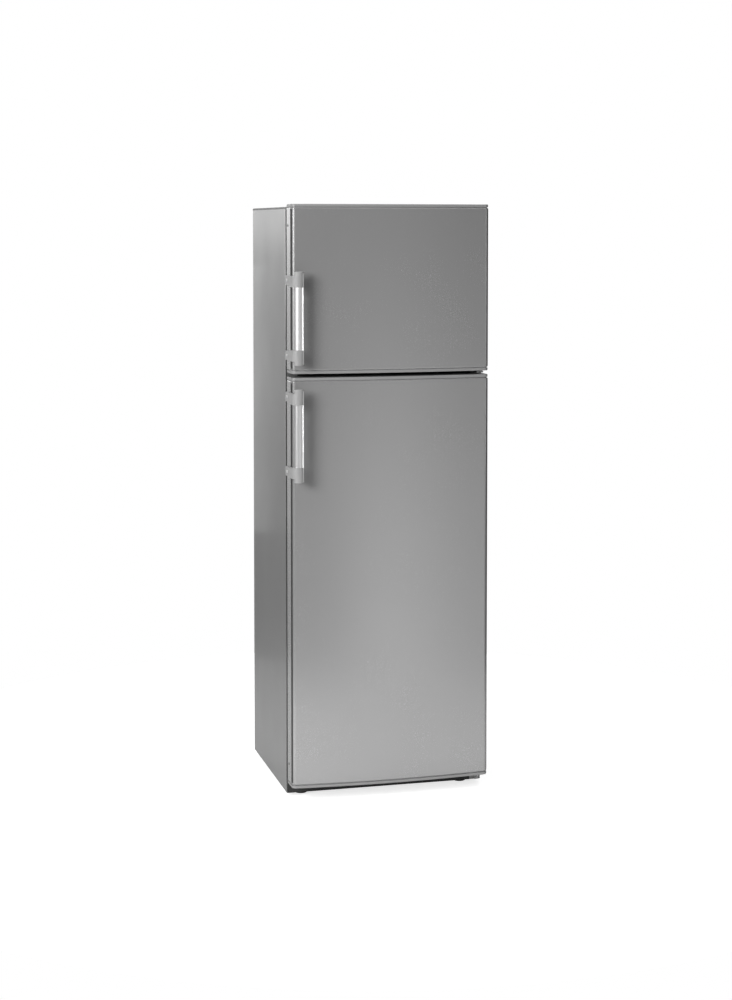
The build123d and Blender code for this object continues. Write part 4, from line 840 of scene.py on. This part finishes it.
# Stops at the back of the glass shelves
STOP_ENDS = 14 * MM
STOP_SINK = 0.2 * MM
STOP_RISE = 9 * MM
STOP_FROM_BACK = (5 * MM, 1 * MM)
STOP_SOFTEN = 1 * MM


def shelf_stops():
    form = bmesh.new()
    for shelf in ("shelf_1", "shelf_2", "shelf_3", "freezer_shelf"):
        low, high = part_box(shelf)
        brick(
            form,
            (low.x + STOP_ENDS, high.y - STOP_FROM_BACK[0], high.z - STOP_SINK),
            (high.x - STOP_ENDS, high.y - STOP_FROM_BACK[1], high.z + STOP_RISE),
            STOP_SOFTEN,
        )
    add_piece("shelf_stops", form, "cabinet", "shelf_trim")


# Compressor: washer, nut and stud of each bolt with its count of sides, and the wire clip of the starter box
FOOT_PLATE = 3 * MM
BOLT_IN = 12 * MM
BOLT_PARTS = [
    ([(6.2, -0.2), (6.2, 0.9), (5.8, 1.2)], 24),
    ([(4.9, 1.1), (4.9, 4.2), (4.2, 4.8)], 6),
    ([(2.2, 4.6), (2.2, 7.6), (1.6, 8.2)], 16),
]
CLIP_ABOVE_WAIST = 16 * MM
CLIP_HALF = 32.2 * MM
CLIP_REACH = 30 * MM
CLIP_WIRE = 1.2 * MM
CLIP_BEND = 3 * MM


def compressor_fittings():
    low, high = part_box("compressor_mounts")
    foot_top = high.z + FOOT_PLATE
    form = bmesh.new()
    for x in (low.x + BOLT_IN, high.x - BOLT_IN):
        for y in (low.y + BOLT_IN, high.y - BOLT_IN):
            for outline, steps in BOLT_PARTS:
                turned(form, outline, (x, y, foot_top), UP, steps)
    add_piece("compressor_bolts", form, "cabinet", "pin_steel")
    low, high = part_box("compressor")
    clip_z = (foot_top + high.z) / 2 + CLIP_ABOVE_WAIST
    front, back = ((low.y + high.y) / 2 + side * CLIP_HALF for side in (-1, 1))
    inner, outer = low.x + CLIP_REACH, low.x - CLIP_WIRE
    route = [(x, y, clip_z) for x, y in ((inner, front), (outer, front), (outer, back), (inner, back))]
    form = bmesh.new()
    bent_wire(form, route, CLIP_WIRE, CLIP_BEND)
    add_piece("starter_clip", form, "cabinet", "pin_steel")


# Hexagons on the levelling feet and riveted ends of the roller axles
HEXAGON_OUTLINE = [(8.2, -0.3), (9.0, 0.5), (9.0, 6.5), (8.2, 7.3)]
HEXAGON_SIDES = 6
FOOT_PAD = 9 * MM
RIVET_OUTLINE = [(5.6, -0.2), (5.4, 0.6), (4.2, 1.4), (2.2, 1.9), (0.6, 2.0)]


def foot_hexagon(side):
    foot = f"levelling_foot_{side}"
    low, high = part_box(foot)
    form = bmesh.new()
    place = ((low.x + high.x) / 2, (low.y + high.y) / 2, low.z + FOOT_PAD)
    turned(form, HEXAGON_OUTLINE, place, UP, HEXAGON_SIDES)
    add_piece(f"{foot}_hexagon", form, foot, "black_plastic")


def axle_rivets():
    _, bracket_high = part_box("roller_brackets")
    low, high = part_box("rear_roller_right")
    form = bmesh.new()
    for side, axis in ((-1, LEFT), (1, RIGHT)):
        place = (side * bracket_high.x, (low.y + high.y) / 2, (low.z + high.z) / 2)
        turned(form, RIVET_OUTLINE, place, axis)
    add_piece("axle_rivets", form, "cabinet", "pin_steel")


for side in SIDES:
    side_shade_strip(side)
    drawer_ribs(side)
    foot_hexagon(side)
bar_lips = []
for door in DOORS:
    door_seal(door)
    door_corner_dark_reflection(door)
    door_plug(door)
    handle_screws(door)
    bar_lips.append(handle_lips(door))
for rack, body in RACKS.items():
    rack_ribs(rack, body)
cabinet_screws()
back_sheet_bead()
temperature_dial()
compartment_lamp()
freezer_floor_ribs()
shelf_stops()
compressor_fittings()
axle_rivets()


# Floor: plain and pale, white to the camera, with a glow in front that the doors mirror
FLOOR_RADIUS = 1.7
FLOOR_SEGMENTS = 128
FLOOR_TONE = 0.66
FLOOR_ROUGHNESS = 0.9
FLOOR_SPECULAR = 0.1
FLOOR_LIFT = 0.76
FLOOR_GLOW = 0.4
FLOOR_GLOW_FROM = -0.25
FLOOR_GLOW_FULL = -0.55


def floor_paint():
    tree, shader, place = new_finish("floor_paint")
    shader.inputs["Base Color"].default_value = grey(FLOOR_TONE)
    shader.inputs["Roughness"].default_value = FLOOR_ROUGHNESS
    shader.inputs["Specular IOR Level"].default_value = FLOOR_SPECULAR
    shader.inputs["Emission Color"].default_value = grey(1.0)
    path = tree.nodes.new("ShaderNodeLightPath")
    lift = tree.nodes.new("ShaderNodeMath")
    lift.operation = "MULTIPLY"
    lift.inputs[1].default_value = FLOOR_LIFT
    glow = tree.nodes.new("ShaderNodeMath")
    glow.operation = "MULTIPLY_ADD"
    parts = tree.nodes.new("ShaderNodeSeparateXYZ")
    front = tree.nodes.new("ShaderNodeMapRange")
    front.inputs["From Min"].default_value = FLOOR_GLOW_FROM
    front.inputs["From Max"].default_value = FLOOR_GLOW_FULL
    front.inputs["To Max"].default_value = FLOOR_GLOW
    link = tree.links.new
    link(place, parts.inputs[0])
    link(parts.outputs["Y"], front.inputs["Value"])
    link(front.outputs["Result"], glow.inputs[1])
    link(path.outputs["Is Camera Ray"], lift.inputs[0])
    link(path.outputs["Is Glossy Ray"], glow.inputs[0])
    link(lift.outputs[0], glow.inputs[2])
    link(glow.outputs[0], shader.inputs["Emission Strength"])


def studio_floor():
    floor_paint()
    form = bmesh.new()
    bmesh.ops.create_circle(form, cap_ends=True, segments=FLOOR_SEGMENTS, radius=FLOOR_RADIUS)
    mesh = bpy.data.meshes.new("studio_floor")
    form.to_mesh(mesh)
    form.free()
    mesh.materials.append(FINISHES["floor_paint"])
    floor = bpy.data.objects.new("studio_floor", mesh)
    scene.collection.objects.link(floor)


studio_floor()


# Lights: their places and targets in metres, their powers in watts
def soft_light(name, place, target, size, power, glossy=True, only=()):
    """Rectangular light that faces a target. The value only names the pieces that it lights, if not all."""
    data = bpy.data.lights.new(name, "AREA")
    data.shape = "RECTANGLE"
    data.size, data.size_y = size
    data.energy = power
    lamp = bpy.data.objects.new(name, data)
    lamp.location = place
    lamp.rotation_mode = "QUATERNION"
    lamp.rotation_quaternion = (Vector(target) - Vector(place)).to_track_quat("-Z", "Y")
    lamp.visible_camera = False
    lamp.visible_glossy = glossy
    if only:
        lit = bpy.data.collections.new(f"{name}_lit")
        for piece in only:
            lit.objects.link(piece)
        lamp.light_linking.receiver_collection = lit
    scene.collection.objects.link(lamp)


upper_bar = nodes["freezer_handle_bar"]
soft_light("overhead", (0.0, -0.3, 4.4), (0.0, -0.3, 0.0), size=(4.0, 4.0), power=65)
soft_light("left_key", (-4.35, -3.26, 2.9), (-0.2, -0.3, 1.3), size=(2.4, 2.6), power=300, glossy=False)
soft_light("left_gloss", (-3.9, -3.7, 2.5), (-0.2, -0.3, 1.3), size=(2.6, 1.6), power=62)
soft_light("bar_gloss", (-1.74, -4.07, 1.4), (-0.27, -0.35, 1.4), size=(1.7, 0.6), power=11, only=[upper_bar])
soft_light("lip_gloss", (-1.74, -4.07, 1.1), (-0.27, -0.35, 1.25), size=(1.7, 1.2), power=60, only=bar_lips)
soft_light("left_low", (-2.6, -2.2, 1.2), (-0.2, -0.3, 1.0), size=(0.9, 0.7), power=2)
soft_light("left_floor", (-1.3, -2.2, 0.15), (-0.25, -0.28, 0.25), size=(1.6, 0.4), power=7, glossy=False)
soft_light("back_card_high", (-0.42, 1.3, 1.25), (-0.3, 0.1, 1.25), size=(0.22, 0.6), power=0.25)
soft_light("back_card_low", (-0.42, 1.3, 1.05), (-0.3, 0.1, 1.05), size=(0.22, 1.0), power=0.34)
soft_light("back_fill", (1.4, 4.2, 2.4), (0.0, 0.3, 0.9), size=(2.4, 2.0), power=60, glossy=False)
soft_light("right_strip", (2.6, -1.9, 1.5), (-0.2, -0.3, 1.2), size=(0.35, 1.8), power=4)


# Room: its brightness by height of the direction, ahead and behind, and its shares by the direction's X and Y
WORLD_TOP = 2.0
WORLD_AHEAD = [
    (-0.35, 1.26), (-0.2, 1.24), (-0.16, 1.1), (-0.125, 0.88), (-0.085, 0.48), (-0.05, 0.2), (-0.02, 0.04),
    (0.02, 0.0), (0.15, 0.03), (0.6, 0.4),
]
WORLD_ACROSS = [
    (-0.1, 0.2), (0.08, 0.2), (0.14, 0.45), (0.19, 0.85), (0.24, 1.0), (0.3, 0.9), (0.36, 0.75), (0.45, 0.63),
]
WORLD_BEHIND = [
    (-0.3, 0.52), (-0.2, 0.36), (-0.16, 0.37), (-0.12, 0.42), (-0.085, 0.47), (-0.05, 0.42), (-0.03, 0.47),
    (-0.016, 0.68), (-0.008, 1.25), (0.0, 1.75), (0.1, 2.0),
]
WORLD_SIDE = [(-0.98, 1.0), (-0.8, 0.75), (-0.3, 0.06), (0.9, 0.05), (0.96, 1.0)]
WORLD_TURN = [(-0.2, 0.0), (0.2, 1.0)]


def world_value(tree, source, points, top=1.0):
    """Values along (position, value) points, with positions from -1 to 1, as a share of the top value."""
    scale = tree.nodes.new("ShaderNodeMapRange")
    scale.inputs["From Min"].default_value = -1.0
    tree.links.new(source, scale.inputs["Value"])
    ramp = tree.nodes.new("ShaderNodeValToRGB")
    stops = ramp.color_ramp.elements
    while len(stops) < len(points):
        stops.new(0.5)
    for stop, (position, value) in zip(stops, points):
        stop.position = (position + 1) / 2
        stop.color = grey(value / top)
    tree.links.new(scale.outputs["Result"], ramp.inputs["Fac"])
    return ramp.outputs["Color"]


def product(tree, a, b):
    mix = tree.nodes.new("ShaderNodeMix")
    mix.data_type = "RGBA"
    mix.blend_type = "MULTIPLY"
    mix.inputs["Factor"].default_value = 1.0
    tree.links.new(a, mix.inputs[6])
    tree.links.new(b, mix.inputs[7])
    return mix.outputs[2]


def studio_world():
    """White to the camera; for light and reflections a dim room, paler low down ahead and straight behind."""
    world = bpy.data.worlds.new("studio")
    scene.world = world
    world.use_nodes = True
    tree = world.node_tree
    tree.nodes.clear()
    link = tree.links.new
    parts = tree.nodes.new("ShaderNodeSeparateXYZ")
    link(tree.nodes.new("ShaderNodeTexCoord").outputs["Generated"], parts.inputs[0])
    x, y, z = (parts.outputs[label] for label in "XYZ")
    ahead = product(tree, world_value(tree, z, WORLD_AHEAD, WORLD_TOP), world_value(tree, x, WORLD_ACROSS))
    behind = world_value(tree, z, WORLD_BEHIND, WORLD_TOP)
    room = mix_colour(tree, world_value(tree, y, WORLD_TURN), ahead, behind)
    light = tree.nodes.new("ShaderNodeBackground")
    light.inputs["Strength"].default_value = WORLD_TOP
    link(product(tree, room, world_value(tree, y, WORLD_SIDE)), light.inputs["Color"])
    white = tree.nodes.new("ShaderNodeBackground")
    white.inputs["Color"].default_value = grey(1.0)
    path = tree.nodes.new("ShaderNodeLightPath")
    pick = tree.nodes.new("ShaderNodeMixShader")
    link(path.outputs["Is Camera Ray"], pick.inputs["Fac"])
    link(light.outputs[0], pick.inputs[1])
    link(white.outputs[0], pick.inputs[2])
    link(pick.outputs[0], tree.nodes.new("ShaderNodeOutputWorld").inputs["Surface"])


studio_world()

# Camera, fitted to the photograph's edges
CAMERA_PLACE = (-1.468, -5.639, 1.687)
CAMERA_YAW = math.radians(14.54)
CAMERA_PITCH = math.radians(3.08)
CAMERA_LENS = 68.4
CAMERA_SENSOR = 36
CAMERA_SHIFT = -0.17
camera_data = bpy.data.cameras.new("camera")
camera_data.lens = CAMERA_LENS
camera_data.sensor_width = CAMERA_SENSOR
camera_data.shift_y = CAMERA_SHIFT
camera = bpy.data.objects.new("camera", camera_data)
camera.location = CAMERA_PLACE
camera.rotation_euler = (math.pi / 2 - CAMERA_PITCH, 0, -CAMERA_YAW)
scene.collection.objects.link(camera)
scene.camera = camera
